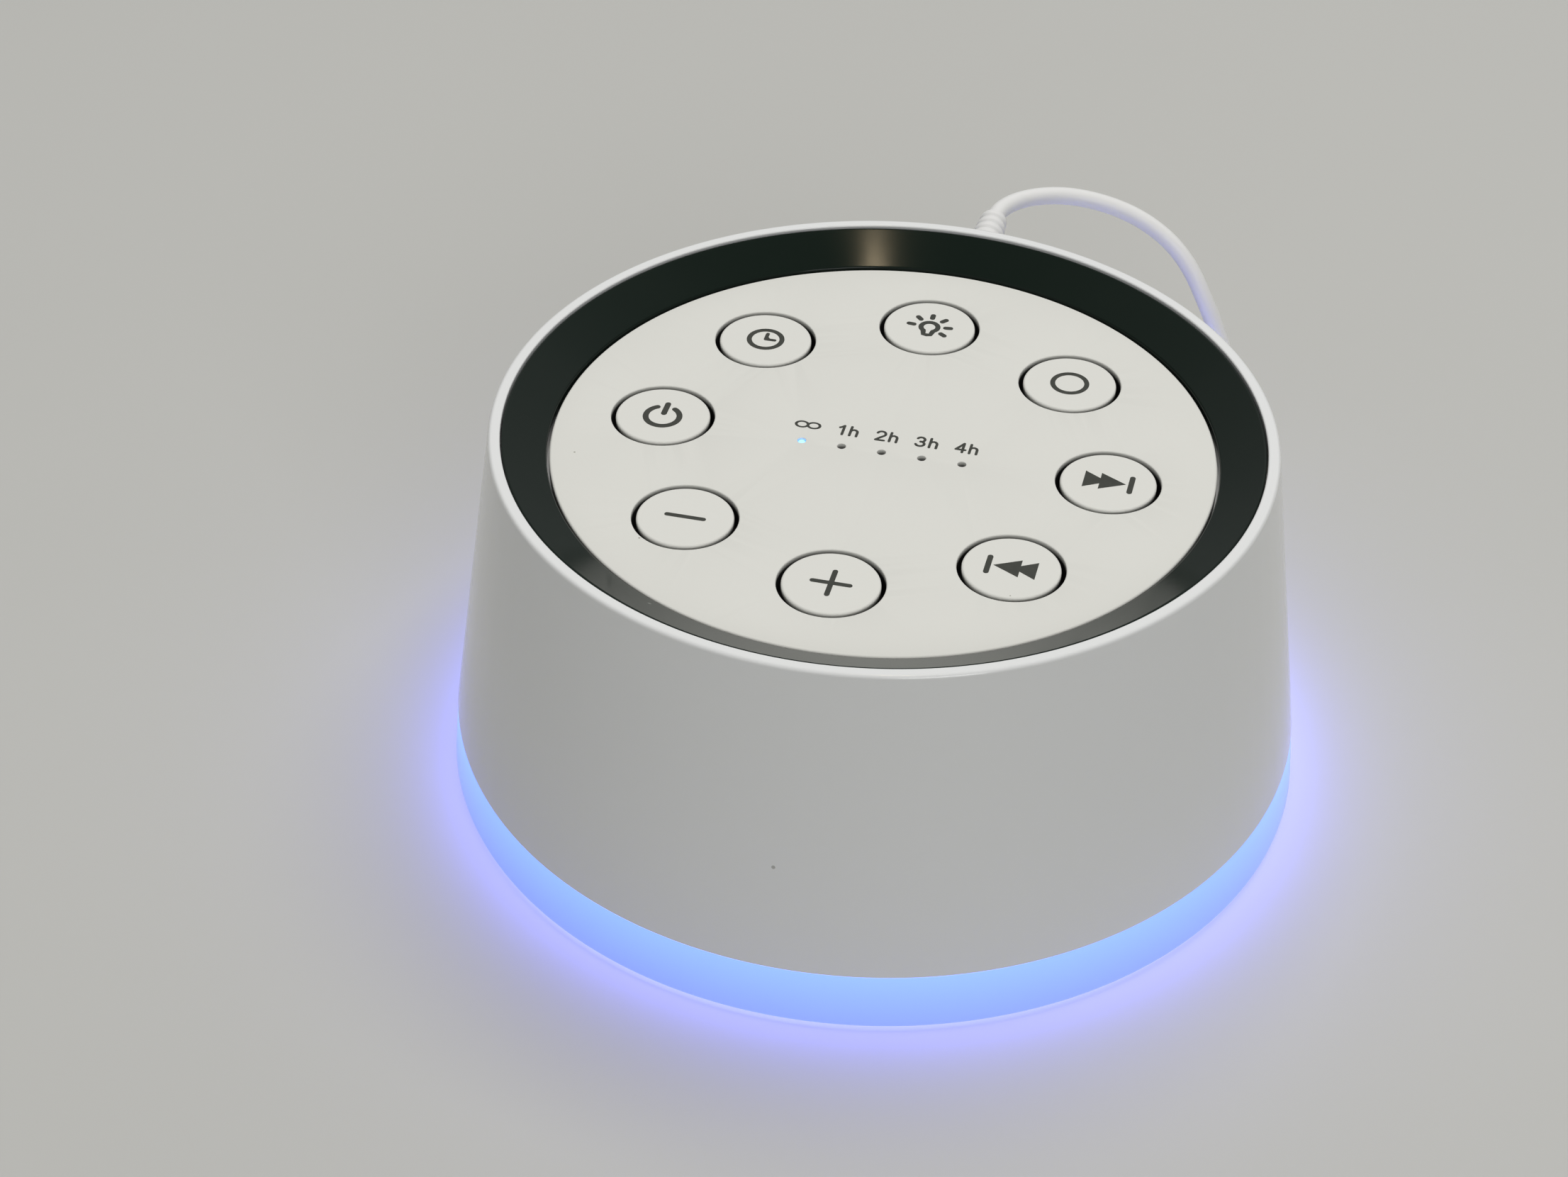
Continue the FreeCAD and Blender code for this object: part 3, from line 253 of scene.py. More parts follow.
def together(shapes):
    """One set of points and faces from several."""
    points, faces, start = [], [], 0
    for shape_points, shape_faces in shapes:
        points.append(shape_points)
        faces += [[start + corner for corner in face] for face in shape_faces]
        start += len(shape_points)
    return np.concatenate(points), faces


def piece(name, shape, material, body="housing", sharp=35.0, stands_for=()):
    """Mesh object from points in millimetres: doubles merged, faces turned out, sharp edges marked."""
    points, faces = shape
    mesh = bpy.data.meshes.new(name)
    mesh.from_pydata((points * MM).tolist(), [], faces)
    cleaner = bmesh.new()
    cleaner.from_mesh(mesh)
    bmesh.ops.remove_doubles(cleaner, verts=cleaner.verts, dist=1e-6)
    bmesh.ops.dissolve_degenerate(cleaner, edges=cleaner.edges, dist=1e-7)
    bmesh.ops.recalc_face_normals(cleaner, faces=cleaner.faces)
    cleaner.to_mesh(mesh)
    cleaner.free()
    mesh.polygons.foreach_set("use_smooth", np.ones(len(mesh.polygons), bool))
    mesh.set_sharp_from_angle(angle=math.radians(sharp))
    mesh.materials.append(material)
    thing = bpy.data.objects.new(name, mesh)
    bpy.context.scene.collection.objects.link(thing)
    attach(thing, body)
    if stands_for:
        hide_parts(*stands_for)
    return thing


def dressed(node, material):
    """Give a construction node its finish."""
    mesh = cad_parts[node].data
    mesh.materials.clear()
    mesh.materials.append(material)


cord_diameter = 2.8
cord_lift = cord_diameter / 2
socket_height = 38.5
plug_face = 57.096
plug_length = 15.5
relief_length = 11.2
relief_end = plug_face + plug_length + relief_length
coil_x = -12.0
coil_y = 88.0
coil_pitch = 3.3
coil_spiral_turns = 2.875
coil_layers = 4
coil_mean_radius = 15.6
coil_outer_turn = coil_mean_radius + coil_pitch * coil_spiral_turns / 2
coil_lead_in = 3.0

cord_route = [
    (0, relief_end, socket_height), (0, 86.6, socket_height), (3.2, 91.4, 38.4), (8.6, 95.2, 37.7),
    (15.0, 96.9, 36.4), (21.4, 96.9, 34.5), (26.9, 95.8, 31.6), (30.8, 94.4, 27.8), (33.6, 93.0, 23.2),
    (36.0, 92.4, 18.4), (38.2, 91.4, 13.4), (39.2, 88.6, 8.4), (38.4, 84.6, 4.4), (35.4, 79.4, 2.0),
    (31.0, 74.8, cord_lift), (25.2, 71.2, cord_lift), (17.2, 68.8, cord_lift),
    (8.4, coil_y - coil_outer_turn, cord_lift),
    (coil_x + coil_lead_in, coil_y - coil_outer_turn, cord_lift)]


def coil_points(per_turn=16):
    """Wound line: radius runs in and out by a pitch a turn, height climbs a pitch at each reversal."""
    cycle = coil_spiral_turns + 0.5
    total = coil_layers * cycle - 0.5
    turns = np.linspace(0, total, int(total * per_turn) + 1)
    layer = np.minimum((turns / cycle + 1e-9).astype(int), coil_layers - 1)
    within = turns - layer * cycle
    inward = layer % 2 == 0
    spiral = np.minimum(within, coil_spiral_turns)
    shrink = np.where(inward, spiral, coil_spiral_turns - spiral)
    climb = np.maximum(0.0, within - coil_spiral_turns) / 0.5
    bulge = coil_pitch / (2 * math.pi) * np.sin(math.pi * climb)
    radius = coil_outer_turn - coil_pitch * shrink + np.where(inward, -bulge, bulge)
    radius = radius / ((3 + math.cos(2 * math.pi / per_turn)) / 4)
    height = cord_lift + coil_pitch * (layer + climb * climb * (3 - 2 * climb))
    angle = -math.pi / 2 - turns * 2 * math.pi
    return np.stack([coil_x + radius * np.cos(angle), coil_y + radius * np.sin(angle), height], axis=1)


coil = coil_points()
leave_x = coil_x - coil_lead_in
leave_y = coil_y - coil_outer_turn
leave_z = cord_lift + coil_pitch * (coil_layers - 1)
grip_middle = 3.8
cord_tail = [
    (leave_x, leave_y, leave_z), (leave_x - 8.0, leave_y, leave_z),
    (leave_x - 17.0, leave_y + 2.2, leave_z - 2.4), (leave_x - 24.4, leave_y + 6.6, leave_z - 6.2),
    (leave_x - 28.0, leave_y + 12.6, grip_middle), (leave_x - 28.0, leave_y + 18.0, grip_middle)]

cord_white = moulded_material(
    "cord_white", (0.83, 0.83, 0.82), (0.74, 0.74, 0.73),
    {"Patch Amount": 0.35, "Patch Scale": 90.0, "Roughness": 0.34, "Roughness Swing": 0.1,
     "Grain Scale": 2500.0, "Grain Depth": 0.25},
    Specular_IOR_Level=0.5)

cord_curve = bpy.data.curves.new("power_cord", "CURVE")
cord_curve.dimensions = "3D"
cord_curve.bevel_depth = cord_lift * MM
cord_curve.bevel_resolution = 6
cord_curve.resolution_u = 6
cord_curve.use_fill_caps = True
cord_points = np.concatenate([np.array(cord_route), coil, np.array(cord_tail)])
spline = cord_curve.splines.new("NURBS")
spline.points.add(len(cord_points) - 1)
weighted = np.concatenate([cord_points * MM, np.ones((len(cord_points), 1))], axis=1)
spline.points.foreach_set("co", weighted.ravel())
spline.order_u = 3
spline.use_endpoint_u = True
cord_curve.materials.append(cord_white)
power_cord = bpy.data.objects.new("power_cord", cord_curve)
bpy.context.scene.collection.objects.link(power_cord)
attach(power_cord, "housing")
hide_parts("power_cord_run", "power_cord_coil", "power_cord_tail")

# Power plug and strain relief: white PVC moulded over a nickel barrel. The relief is a taper of
# separate rings that lets the lead bend without a kink.
plug_radius = 4.6
relief_start_radius = 2.9
relief_end_radius = 2.1
plug_end = plug_face + plug_length
plug_shape = along_y(turned(outline([
    (0, plug_face, 0), (plug_radius - 0.3, plug_face, 0.3), (plug_radius, plug_face + 1.2, 0.6),
    (plug_radius, plug_end - 3.4, 2.4), (relief_start_radius + 0.2, plug_end, 0.3), (0, plug_end, 0)],
    closed=False), steps=72, closed=False), socket_height)
plug_body = piece("plug_body", plug_shape, cord_white, stands_for=["power_plug_body"])

rib_count = 5
rib_groove = 0.45
rib_pitch = relief_length / (rib_count + 0.4)
rib_along = np.linspace(0, relief_length, 141)
rib_taper = relief_start_radius + (relief_end_radius - relief_start_radius) * rib_along / relief_length
rib_wave = 0.5 - 0.5 * np.cos(2 * math.pi * (rib_along / rib_pitch + 0.15))
rib_radius = rib_taper - rib_groove * rib_wave ** 3
relief_profile = np.stack([
    np.concatenate([[0], rib_radius, [0]]),
    plug_end + np.concatenate([[0], rib_along, [relief_length]])], axis=1)
relief_shape = along_y(turned(relief_profile, steps=64, closed=False), socket_height)
strain_relief = piece("strain_relief", relief_shape, cord_white,
                      stands_for=["cord_strain_relief"])

nickel = moulded_material(
    "nickel", (0.72, 0.71, 0.69), (0.6, 0.59, 0.57),
    {"Patch Amount": 0.4, "Patch Scale": 300.0, "Roughness": 0.18, "Roughness Swing": 0.12,
     "Grain Scale": 6000.0, "Grain Depth": 0.1}, Metallic=1.0)
dressed("power_plug_barrel", nickel)
dressed("usb_connector_shell", nickel)

# Far connector: a flat white grip, moulded with a soft waist and grip ridges, and a folded metal
# shell round a contact tongue. It lies on the table beside the coil.
grip_length = 18.0
grip_width = 15.4
grip_height = 7.6


def grip_surface(low_y, centre_x, steps_along=73, steps_round=96):
    """Loft of rounded oblongs: |x/a|^p + |z/b|^p = 1, with a and b easing in at the ends and waist."""
    v = np.linspace(0, 1, steps_along)
    end_ease = np.minimum(1.0, np.minimum(v, 1 - v) / 0.05)
    end_scale = 0.9 + 0.1 * np.sqrt(1 - (1 - end_ease) ** 2)
    ridge = 0.012 * np.cos(2 * math.pi * np.clip((v - 0.3) / 0.4, 0, 1) * 6) * ((v > 0.3) & (v < 0.7))
    half_width = grip_width / 2 * end_scale * (0.985 + ridge)
    half_height = grip_height / 2 * end_scale
    a = np.linspace(0, 2 * math.pi, steps_round, endpoint=False)
    power = 2 / 5.0
    x = np.sign(np.cos(a)) * np.abs(np.cos(a)) ** power
    z = np.sign(np.sin(a)) * np.abs(np.sin(a)) ** power
    grid = np.stack([
        centre_x + half_width[:, None] * x,
        np.broadcast_to((low_y + v * grip_length)[:, None], (steps_along, steps_round)),
        grip_height / 2 + half_height[:, None] * z], axis=2)
    points = grid.reshape(-1, 3)
    i, j = np.meshgrid(np.arange(steps_along - 1), np.arange(steps_round), indexing="ij")
    k = (j + 1) % steps_round
    quads = np.stack([i * steps_round + j, i * steps_round + k, (i + 1) * steps_round + k,
                      (i + 1) * steps_round + j], axis=2).reshape(-1, 4).tolist()
    last_row = (steps_along - 1) * steps_round
    ends = [list(range(steps_round)), list(range(last_row, last_row + steps_round))]
    return points, quads + ends


def slab(x0, x1, y0, y1, z0, z1):
    """Square block."""
    corner = np.array([(x, y, z) for z in (z0, z1) for y in (y0, y1) for x in (x0, x1)], float)
    return corner, [[0, 2, 3, 1], [4, 5, 7, 6], [0, 1, 5, 4], [2, 6, 7, 3], [0, 4, 6, 2], [1, 3, 7, 5]]


grip_x, grip_y = cord_tail[-1][0], cord_tail[-1][1]
shell_half_height = 2.25
shell_low = grip_height / 2 - shell_half_height
tongue_half_width = 5.3
tongue_length = 11.0
tongue = slab(grip_x - tongue_half_width, grip_x + tongue_half_width,
              grip_y + grip_length, grip_y + grip_length + tongue_length,
              shell_low + 0.4, shell_low + 2.2)
connector_grip = piece("connector_grip", together([grip_surface(grip_y, grip_x), tongue]), cord_white,
                       stands_for=["usb_connector_grip"])

# Outer shell: one tapering ABS moulding with a high gloss. It has a flat rim, a deck inside that
# carries bezel and panel, four long screw bosses, and a round mouth at the back for the plug.
total_height = 55.0
rim_radius = 53.8
skirt_radius = 60.0
shell_bottom = 9.2
wall = 2.4
recess_radius = 52.15
deck_top = 49.4
deck_bottom = 47.4
deck_inner = 40.8
base_top = 2.8
boss_circle = 46.5
boss_radius = 3.2
boss_bore = 1.45
mouth_radius = 4.35
flare = (skirt_radius - rim_radius) / (total_height - shell_bottom)
shell_white = moulded_material(
    "shell_white", (0.79, 0.80, 0.795), (0.75, 0.76, 0.755),
    {"Patch Amount": 0.25, "Patch Scale": 18.0, "Roughness": 0.13, "Roughness Swing": 0.06,
     "Grain Scale": 900.0, "Grain Depth": 0.05, "Speck Colour": (0.45, 0.45, 0.43, 1.0),
     "Speck Scale": 130.0, "Speck Size": 0.035},
    Specular_IOR_Level=0.5, Coat_Weight=0.4, Coat_Roughness=0.05)


def wall_inner(z):
    """Radius of the wall's inner face at a height."""
    return rim_radius + (total_height - z) * flare - wall


shell_profile = outline([
    (skirt_radius, shell_bottom, 0.2), (rim_radius, total_height, 0.6),
    (recess_radius, total_height, 0.25), (recess_radius, deck_top, 0), (deck_inner, deck_top, 0),
    (deck_inner, deck_bottom, 0), (wall_inner(deck_bottom), deck_bottom, 0),
    (wall_inner(shell_bottom), shell_bottom, 0)])
bosses = []
for quarter in range(4):
    turn = math.radians(45 + 90 * quarter)
    spot = (boss_circle * math.cos(turn), boss_circle * math.sin(turn))
    tube = outline([(boss_bore, base_top, 0), (boss_radius, base_top, 0),
                    (boss_radius, deck_bottom, 0), (boss_bore, deck_bottom, 0)])
    bosses.append(turned(tube, spot, steps=40))
shell = piece("shell", together([turned(shell_profile, steps=288)] + bosses), shell_white,
              stands_for=["outer_shell"])
mouth_steps = 96
mouth_near = 50.0
mouth_far = 70.0
mouth_profile = np.array([
    (0, mouth_near), (mouth_radius, mouth_near), (mouth_radius, mouth_far), (0, mouth_far)])
mouth_mesh = along_y(turned(mouth_profile, steps=mouth_steps, closed=False), socket_height)
mouth = piece("mouth_cutter", mouth_mesh, shell_white)
cut = shell.modifiers.new("mouth", "BOOLEAN")
cut.operation = "DIFFERENCE"
cut.solver = "EXACT"
cut.object = mouth
opened = bpy.data.meshes.new_from_object(shell.evaluated_get(bpy.context.evaluated_depsgraph_get()))
shell.modifiers.clear()
shell.data = opened
bpy.data.objects.remove(mouth)

# Bezel: a charcoal gloss ring that slopes down from the rim to the panel, hollow below, held to
# the deck by eight pins. Dust shows on it as pale specks.
ring_outer = 52.0
ring_inner = 45.95
ring_wall = 1.35
pin_circle = 49.2
pin_radius = 1.0
pin_foot = 46.9
pin_head = 51.8
pin_first_angle = 22.5
panel_top = 51.4
charcoal = moulded_material(
    "bezel_charcoal", (0.007, 0.0125, 0.0095), (0.012, 0.018, 0.014),
    {"Patch Amount": 0.6, "Patch Scale": 60.0, "Roughness": 0.09, "Roughness Swing": 0.05,
     "Grain Scale": 1200.0, "Grain Depth": 0.04, "Speck Colour": (0.10, 0.11, 0.10, 1.0),
     "Speck Scale": 190.0, "Speck Size": 0.05},
    Specular_IOR_Level=0.16)
ring_profile = outline([
    (ring_outer, deck_top, 0), (ring_outer, 54.8, 0.25),
    (ring_inner, 51.55, 0.4), (ring_inner, deck_top, 0),
    (ring_inner + ring_wall, deck_top, 0), (ring_inner + ring_wall, 50.9, 0),
    (ring_outer - ring_wall, 52.7, 0), (ring_outer - ring_wall, deck_top, 0)])
pins = []
for eighth in range(8):
    turn = math.radians(pin_first_angle + 45 * eighth)
    spot = (pin_circle * math.cos(turn), pin_circle * math.sin(turn))
    pin = np.array([(0, pin_foot), (pin_radius, pin_foot), (pin_radius, pin_head), (0, pin_head)])
    pins.append(turned(pin, spot, steps=24, closed=False))
piece("bezel", together([turned(ring_profile, steps=288)] + pins), charcoal,
      stands_for=["bezel_ring"])

# Control panel: a satin white disc, moulded with eight button collars, five lamp holes and four
# screw bosses below. Hole edges are softly rounded.
panel_radius = 45.6
panel_edge = 0.35
button_circle = 31.2
hole_radius = 7.2
hole_edge = 0.2
collar_radius = 8.4
collar_bottom = 47.6
lamp_hole_radius = 0.6
lamp_hole_edge = 0.1
lamp_pitch = 5.6
lamp_row_y = -0.95
panel_boss_circle = 37.0
panel_boss_radius = 2.8
panel_boss_bore = 1.25
panel_boss_bottom = 43.0
button_spots = [(button_circle * math.cos(math.radians(45 * k)),
                 button_circle * math.sin(math.radians(45 * k))) for k in range(8)]
lamp_spots = [((k - 2) * lamp_pitch, lamp_row_y) for k in range(5)]
# The panel's colour carries painted shade from 51.2 mm down to 50.5 mm, in the walls of its button and
# lamp holes.
panel_white = moulded_material(
    "panel_white", (0.735, 0.735, 0.69), (0.70, 0.70, 0.655),
    {"Patch Amount": 0.35, "Patch Scale": 55.0, "Roughness": 0.42, "Roughness Swing": 0.06,
     "Grain Scale": 1500.0, "Grain Depth": 0.35, "Speck Colour": (0.36, 0.35, 0.30, 1.0),
     "Speck Scale": 150.0, "Speck Size": 0.05},
    gap=(51.2, 50.5), Specular_IOR_Level=0.4)


def pierced_disc(radius, holes, height, steps=288):
    """Flat disc at a height, less its round holes: constrained triangles between the circles."""
    points, edges = [], []
    for x, y, r, count in [(0, 0, radius, steps)] + holes:
        a = np.linspace(0, 2 * math.pi, count, endpoint=False)
        first = sum(len(p) for p in points)
        points.append(np.stack([x + r * np.cos(a), y + r * np.sin(a)], axis=1))
        edges += [(first + i, first + (i + 1) % count) for i in range(count)]
    flat = np.concatenate(points)
    found = delaunay_2d_cdt([Vector(p) for p in flat], edges, [], 1, 1e-7)
    corners = np.array([tuple(p) for p in found[0]])
    triangles = np.array(found[2])
    middle = corners[triangles].mean(axis=1)
    keep = np.hypot(middle[:, 0], middle[:, 1]) < radius
    for x, y, r, count in holes:
        keep &= np.hypot(middle[:, 0] - x, middle[:, 1] - y) > r * math.cos(math.pi / count) * 0.999
    return np.column_stack([corners, np.full(len(corners), height)]), triangles[keep].tolist()


hole_steps = 96
lamp_steps = 32
top_holes = [(x, y, hole_radius + hole_edge, hole_steps) for x, y in button_spots]
top_holes += [(x, y, lamp_hole_radius + lamp_hole_edge, lamp_steps) for x, y in lamp_spots]
under_holes = [(x, y, collar_radius, hole_steps) for x, y in button_spots]
under_holes += [(x, y, lamp_hole_radius, lamp_steps) for x, y in lamp_spots]


def quarter_round(radius, edge, top, steps=5):
    """Quarter circle from a flat top into a hole's wall."""
    a = np.linspace(0, math.pi / 2, steps + 1)
    return np.stack([radius + edge - edge * np.sin(a), top - edge + edge * np.cos(a)], axis=1)


panel_shapes = [
    pierced_disc(panel_radius - panel_edge, top_holes, panel_top),
    pierced_disc(panel_radius, under_holes, deck_top)]
rim_a = np.linspace(0, math.pi / 2, 6)
rim_profile = np.stack([panel_radius - panel_edge + panel_edge * np.sin(rim_a),
                        panel_top - panel_edge + panel_edge * np.cos(rim_a)], axis=1)
panel_shapes.append(turned(np.vstack([rim_profile, [(panel_radius, deck_top)]]), steps=288, closed=False))
for spot in button_spots:
    collar = np.vstack([quarter_round(hole_radius, hole_edge, panel_top),
                        [(hole_radius, collar_bottom), (collar_radius, collar_bottom),
                         (collar_radius, deck_top)]])
    panel_shapes.append(turned(collar, spot, steps=hole_steps, closed=False))
for spot in lamp_spots:
    lamp_hole = np.vstack([quarter_round(lamp_hole_radius, lamp_hole_edge, panel_top, 3),
                           [(lamp_hole_radius, deck_top)]])
    panel_shapes.append(turned(lamp_hole, spot, steps=lamp_steps, closed=False))
for quarter in range(4):
    turn = math.radians(22.5 + 90 * quarter)
    spot = (panel_boss_circle * math.cos(turn), panel_boss_circle * math.sin(turn))
    boss_top = deck_top + 0.6
    boss = np.array([(panel_boss_bore, panel_boss_bottom), (panel_boss_radius, panel_boss_bottom),
                     (panel_boss_radius, boss_top), (panel_boss_bore, boss_top)])
    panel_shapes.append(turned(boss, spot, steps=36))
piece("panel", together(panel_shapes), panel_white, stands_for=["control_panel"])

# Timer marks: dark pad-printed ink, a few hundredths of a millimetre thick, above each lamp. The
# first stands for no limit, the others for one to four hours.
ink = moulded_material(
    "printed_ink", (0.040, 0.042, 0.036), (0.075, 0.078, 0.066),
    {"Patch Amount": 0.7, "Patch Scale": 900.0, "Roughness": 0.5, "Roughness Swing": 0.1,
     "Grain Scale": 5000.0, "Grain Depth": 0.3}, Specular_IOR_Level=0.4)
ink_height = 0.03
ink_depth = 0.02
ink_step = 0.002


def arc(cx, cy, rx, ry, first, last, steps=24):
    """Points of an ellipse's arc between two angles in degrees."""
    a = np.radians(np.linspace(first, last, steps))
    return np.stack([cx + rx * np.cos(a), cy + ry * np.sin(a)], axis=1)


def prism(loop, low, high):
    """Flat shape with straight sides over a closed outline."""
    count = len(loop)
    points = np.vstack([np.column_stack([loop, np.full(count, low)]),
                        np.column_stack([loop, np.full(count, high)])])
    sides = [[i, (i + 1) % count, count + (i + 1) % count, count + i] for i in range(count)]
    return points, [list(range(count))[::-1], list(range(count, 2 * count))] + sides


def stroke(path, width, low, high):
    """Ribbon of even width with round ends: the path moved half a width to each side, and end arcs."""
    path = np.asarray(path, float)
    tangent = np.gradient(path, axis=0)
    tangent /= np.linalg.norm(tangent, axis=1)[:, None]
    side = np.stack([-tangent[:, 1], tangent[:, 0]], axis=1) * width / 2
    a = np.linspace(0, math.pi, 9)[1:-1]

    def cap(end, out, left):
        return end + np.cos(a)[:, None] * left + np.sin(a)[:, None] * out * width / 2

    loop = np.vstack([path + side, cap(path[-1], tangent[-1], side[-1]), (path - side)[::-1],
                      cap(path[0], -tangent[0], -side[0])])
    return prism(loop, low, high)


def ring_mark(cx, cy, radius, width, low, high, squash=1.0):
    """Closed ring of even width; squash flattens it along Y."""
    band = np.array([(radius - width / 2, low), (radius + width / 2, low),
                     (radius + width / 2, high), (radius - width / 2, high)])
    points, faces = turned(band, (0, 0), steps=48)
    points = points * [1, squash, 1] + [cx, cy, 0]
    return points, faces


def inked(strokes, x, y, base, size=1.0):
    """Place strokes of a mark at a spot, each a hair higher than the last so that none share a plane."""
    shapes = []
    for k, (kind, *args) in enumerate(strokes):
        low, high = base - ink_depth, base + ink_height + ink_step * k
        if kind == "stroke":
            path, width = args
            shapes.append(stroke(np.asarray(path, float) * size + [x, y], width, low, high))
        elif kind == "ring":
            cx, cy, radius, width, *squash = args
            centre = (x + cx * size, y + cy * size)
            shapes.append(ring_mark(*centre, radius * size, width, low, high, *squash))
        else:
            shapes.append(prism(np.asarray(args[0], float) * size + [x, y], low, high))
    return shapes


pen = 0.38
letter_h = [("stroke", [(0, 0), (0, 1), (0, 2.1)], pen),
            ("stroke", np.vstack([arc(0.48, 0.92, 0.48, 0.5, 160, 0, 12), [(0.96, 0.5), (0.96, 0)]]), pen)]
digits = {
    "1": [("stroke", [(0.9, 0), (0.9, 1), (0.9, 2.1)], pen),
          ("stroke", [(0.9, 2.1), (0.65, 1.8), (0.35, 1.6)], pen)],
    "2": [("stroke", np.vstack([arc(0.62, 1.5, 0.58, 0.6, 165, -35, 16),
                                [(0.55, 0.6), (0.05, 0.02)]]), pen),
          ("stroke", [(0.05, 0), (0.6, 0), (1.2, 0)], pen)],
    "3": [("stroke", arc(0.58, 1.56, 0.52, 0.52, 160, -90, 18), pen),
          ("stroke", arc(0.58, 0.55, 0.6, 0.55, 90, -160, 18), pen)],
    "4": [("stroke", [(0.95, 0), (0.95, 1), (0.95, 2.1)], pen),
          ("stroke", [(0.95, 2.1), (0.5, 1.35), (0, 0.6)], pen),
          ("stroke", [(0, 0.6), (0.6, 0.6), (1.3, 0.6)], pen)],
}
label_base = 1.75
loop_radius = 0.84
loop_squash = 0.80
marks = inked([("ring", -loop_radius, 0, loop_radius, pen, loop_squash),
               ("ring", loop_radius, 0, loop_radius, pen, loop_squash)],
              lamp_spots[0][0], label_base + 1.05, panel_top)
label_half = 1.5
letter_step = 1.95
for k, digit in enumerate("1234"):
    left = lamp_spots[k + 1][0] - label_half
    marks += inked(digits[digit], left, label_base, panel_top)
    marks += inked(letter_h, left + letter_step, label_base, panel_top)
piece("timer_marks", together(marks), ink, sharp=30.0)

# Button caps: hollow white caps with a soft edge, a flange that stops under the collar and a stem
# to the switch. Each carries a printed mark of its own.
cap_radius = 6.55
flange_radius = 8.3
flange_bottom = 46.7
cap_hollow_radius = 5.6
cap_hollow_top = 49.9
stem_radius = 1.5
stem_bottom = 47.3
# The caps' colour carries painted shade from 51.1 mm down to 50.5 mm, on their sides in the gap to the
# collar.
button_white = moulded_material(
    "button_white", (0.745, 0.745, 0.70), (0.715, 0.715, 0.67),
    {"Patch Amount": 0.3, "Patch Scale": 90.0, "Roughness": 0.36, "Roughness Swing": 0.06,
     "Grain Scale": 1500.0, "Grain Depth": 0.3, "Speck Colour": (0.36, 0.35, 0.30, 1.0),
     "Speck Scale": 170.0, "Speck Size": 0.04},
    gap=(51.1, 50.5), Specular_IOR_Level=0.4)


def next_mark(way):
    """Two overlapping arrow heads and a bar, towards +X for way 1 and -X for way -1."""
    tall = 1.85
    first = [(-3.35 * way, -tall), (-3.35 * way, tall), (-0.1 * way, 0)]
    second = [(-1.15 * way, -tall), (-1.15 * way, tall), (2.4 * way, 0)]
    bar = [(3.1 * way, -1.65), (3.1 * way, 0), (3.1 * way, 1.65)]
    return [("fill", first), ("fill", second), ("stroke", bar, 0.76)]


def bulb_mark():
    """Lamp bulb with a neck and seven short rays."""
    neck = [(-0.72, -1.05), (-0.62, -1.5), (-0.5, -2.05), (0, -2.15),
            (0.5, -2.05), (0.62, -1.5), (0.72, -1.05)]
    middle = np.array([0, -0.05])
    glass_radius = 1.22
    glass = arc(*middle, glass_radius, glass_radius, -55, 235, 36)
    strokes = [("stroke", glass, 0.74), ("stroke", neck, 0.74)]
    for angle in range(-35, 216, 42):
        ray = np.array([math.cos(math.radians(angle)), math.sin(math.radians(angle))])
        strokes.append(("stroke", [middle + ray * out for out in (2.35, 2.7, 3.05)], 0.76))
    return strokes


button_marks = {
    "power": [("stroke", arc(0, -0.25, 2.35, 2.35, 122, 418, 48), 0.82),
              ("stroke", [(0, 0.45), (0, 1.5), (0, 2.75)], 0.82)],
    "timer": [("ring", 0, 0, 2.35, 0.72), ("stroke", [(0, 1.4), (0, 0.7), (0, 0)], 0.55),
              ("stroke", [(0, 0), (0.6, 0), (1.3, 0)], 0.55),
              ("fill", [(-0.2, -0.2), (0.95, -0.2), (-0.2, 1.2)])],
    "light": bulb_mark(),
    "select": [("ring", 0, 0, 2.4, 0.7)],
    "next": next_mark(1),
    "previous": next_mark(-1),
    "volume_up": [("stroke", [(-2.5, 0), (0, 0), (2.5, 0)], 0.72),
                  ("stroke", [(0, -2.5), (0, 0), (0, 2.5)], 0.72)],
    "volume_down": [("stroke", [(-2.5, 0), (0, 0), (2.5, 0)], 0.72)],
}
button_places = {"next": 0, "select": 1, "light": 2, "timer": 3, "power": 4,
                 "volume_down": 5, "volume_up": 6, "previous": 7}
cap_profile = outline([
    (0, panel_top, 0), (cap_radius, panel_top, 0.35), (cap_radius, collar_bottom, 0),
    (flange_radius, collar_bottom, 0), (flange_radius, flange_bottom, 0),
    (cap_hollow_radius, flange_bottom, 0), (cap_hollow_radius, cap_hollow_top, 0),
    (stem_radius, cap_hollow_top, 0), (stem_radius, stem_bottom, 0), (0, stem_bottom, 0)], closed=False)
for name, place in button_places.items():
    spot = button_spots[place]
    body = "key_" + name
    piece("cap_" + name, turned(cap_profile, spot, steps=hole_steps, closed=False), button_white,
          body=body, stands_for=["button_" + name])
    piece("mark_" + name, together(inked(button_marks[name], *spot, panel_top)), ink,
          body=body, sharp=30.0)

# Light ring: a translucent polycarbonate band below the shell, lit from behind in blue. It is
# brighter near the lamps at the top and deeper blue at its foot.
diffuser_foot = 0.8
ring_flare = 0.65
plate_seat = 58.35
ring_bore = 56.2
collar_top = 10.7
collar_outer = wall_inner(collar_top) - 0.15
light_ring_profile = outline([
    (skirt_radius - 0.05, shell_bottom, 0.15), (skirt_radius + ring_flare, diffuser_foot, 0.6),
    (plate_seat, diffuser_foot, 0.2), (plate_seat, base_top, 0), (ring_bore, base_top, 0),
    (ring_bore, collar_top, 0.2), (collar_outer, collar_top, 0.2), (collar_outer, shell_bottom, 0)])
light_diffuser = bpy.data.materials.new("light_diffuser")
light_diffuser.use_nodes = True
tree = light_diffuser.node_tree
glow = tree.nodes["Principled BSDF"]
surface = tree.nodes.new("ShaderNodeGroup")
surface.node_tree = moulded_surface
surface.inputs["Colour"].default_value = (0.30, 0.40, 0.70, 1.0)
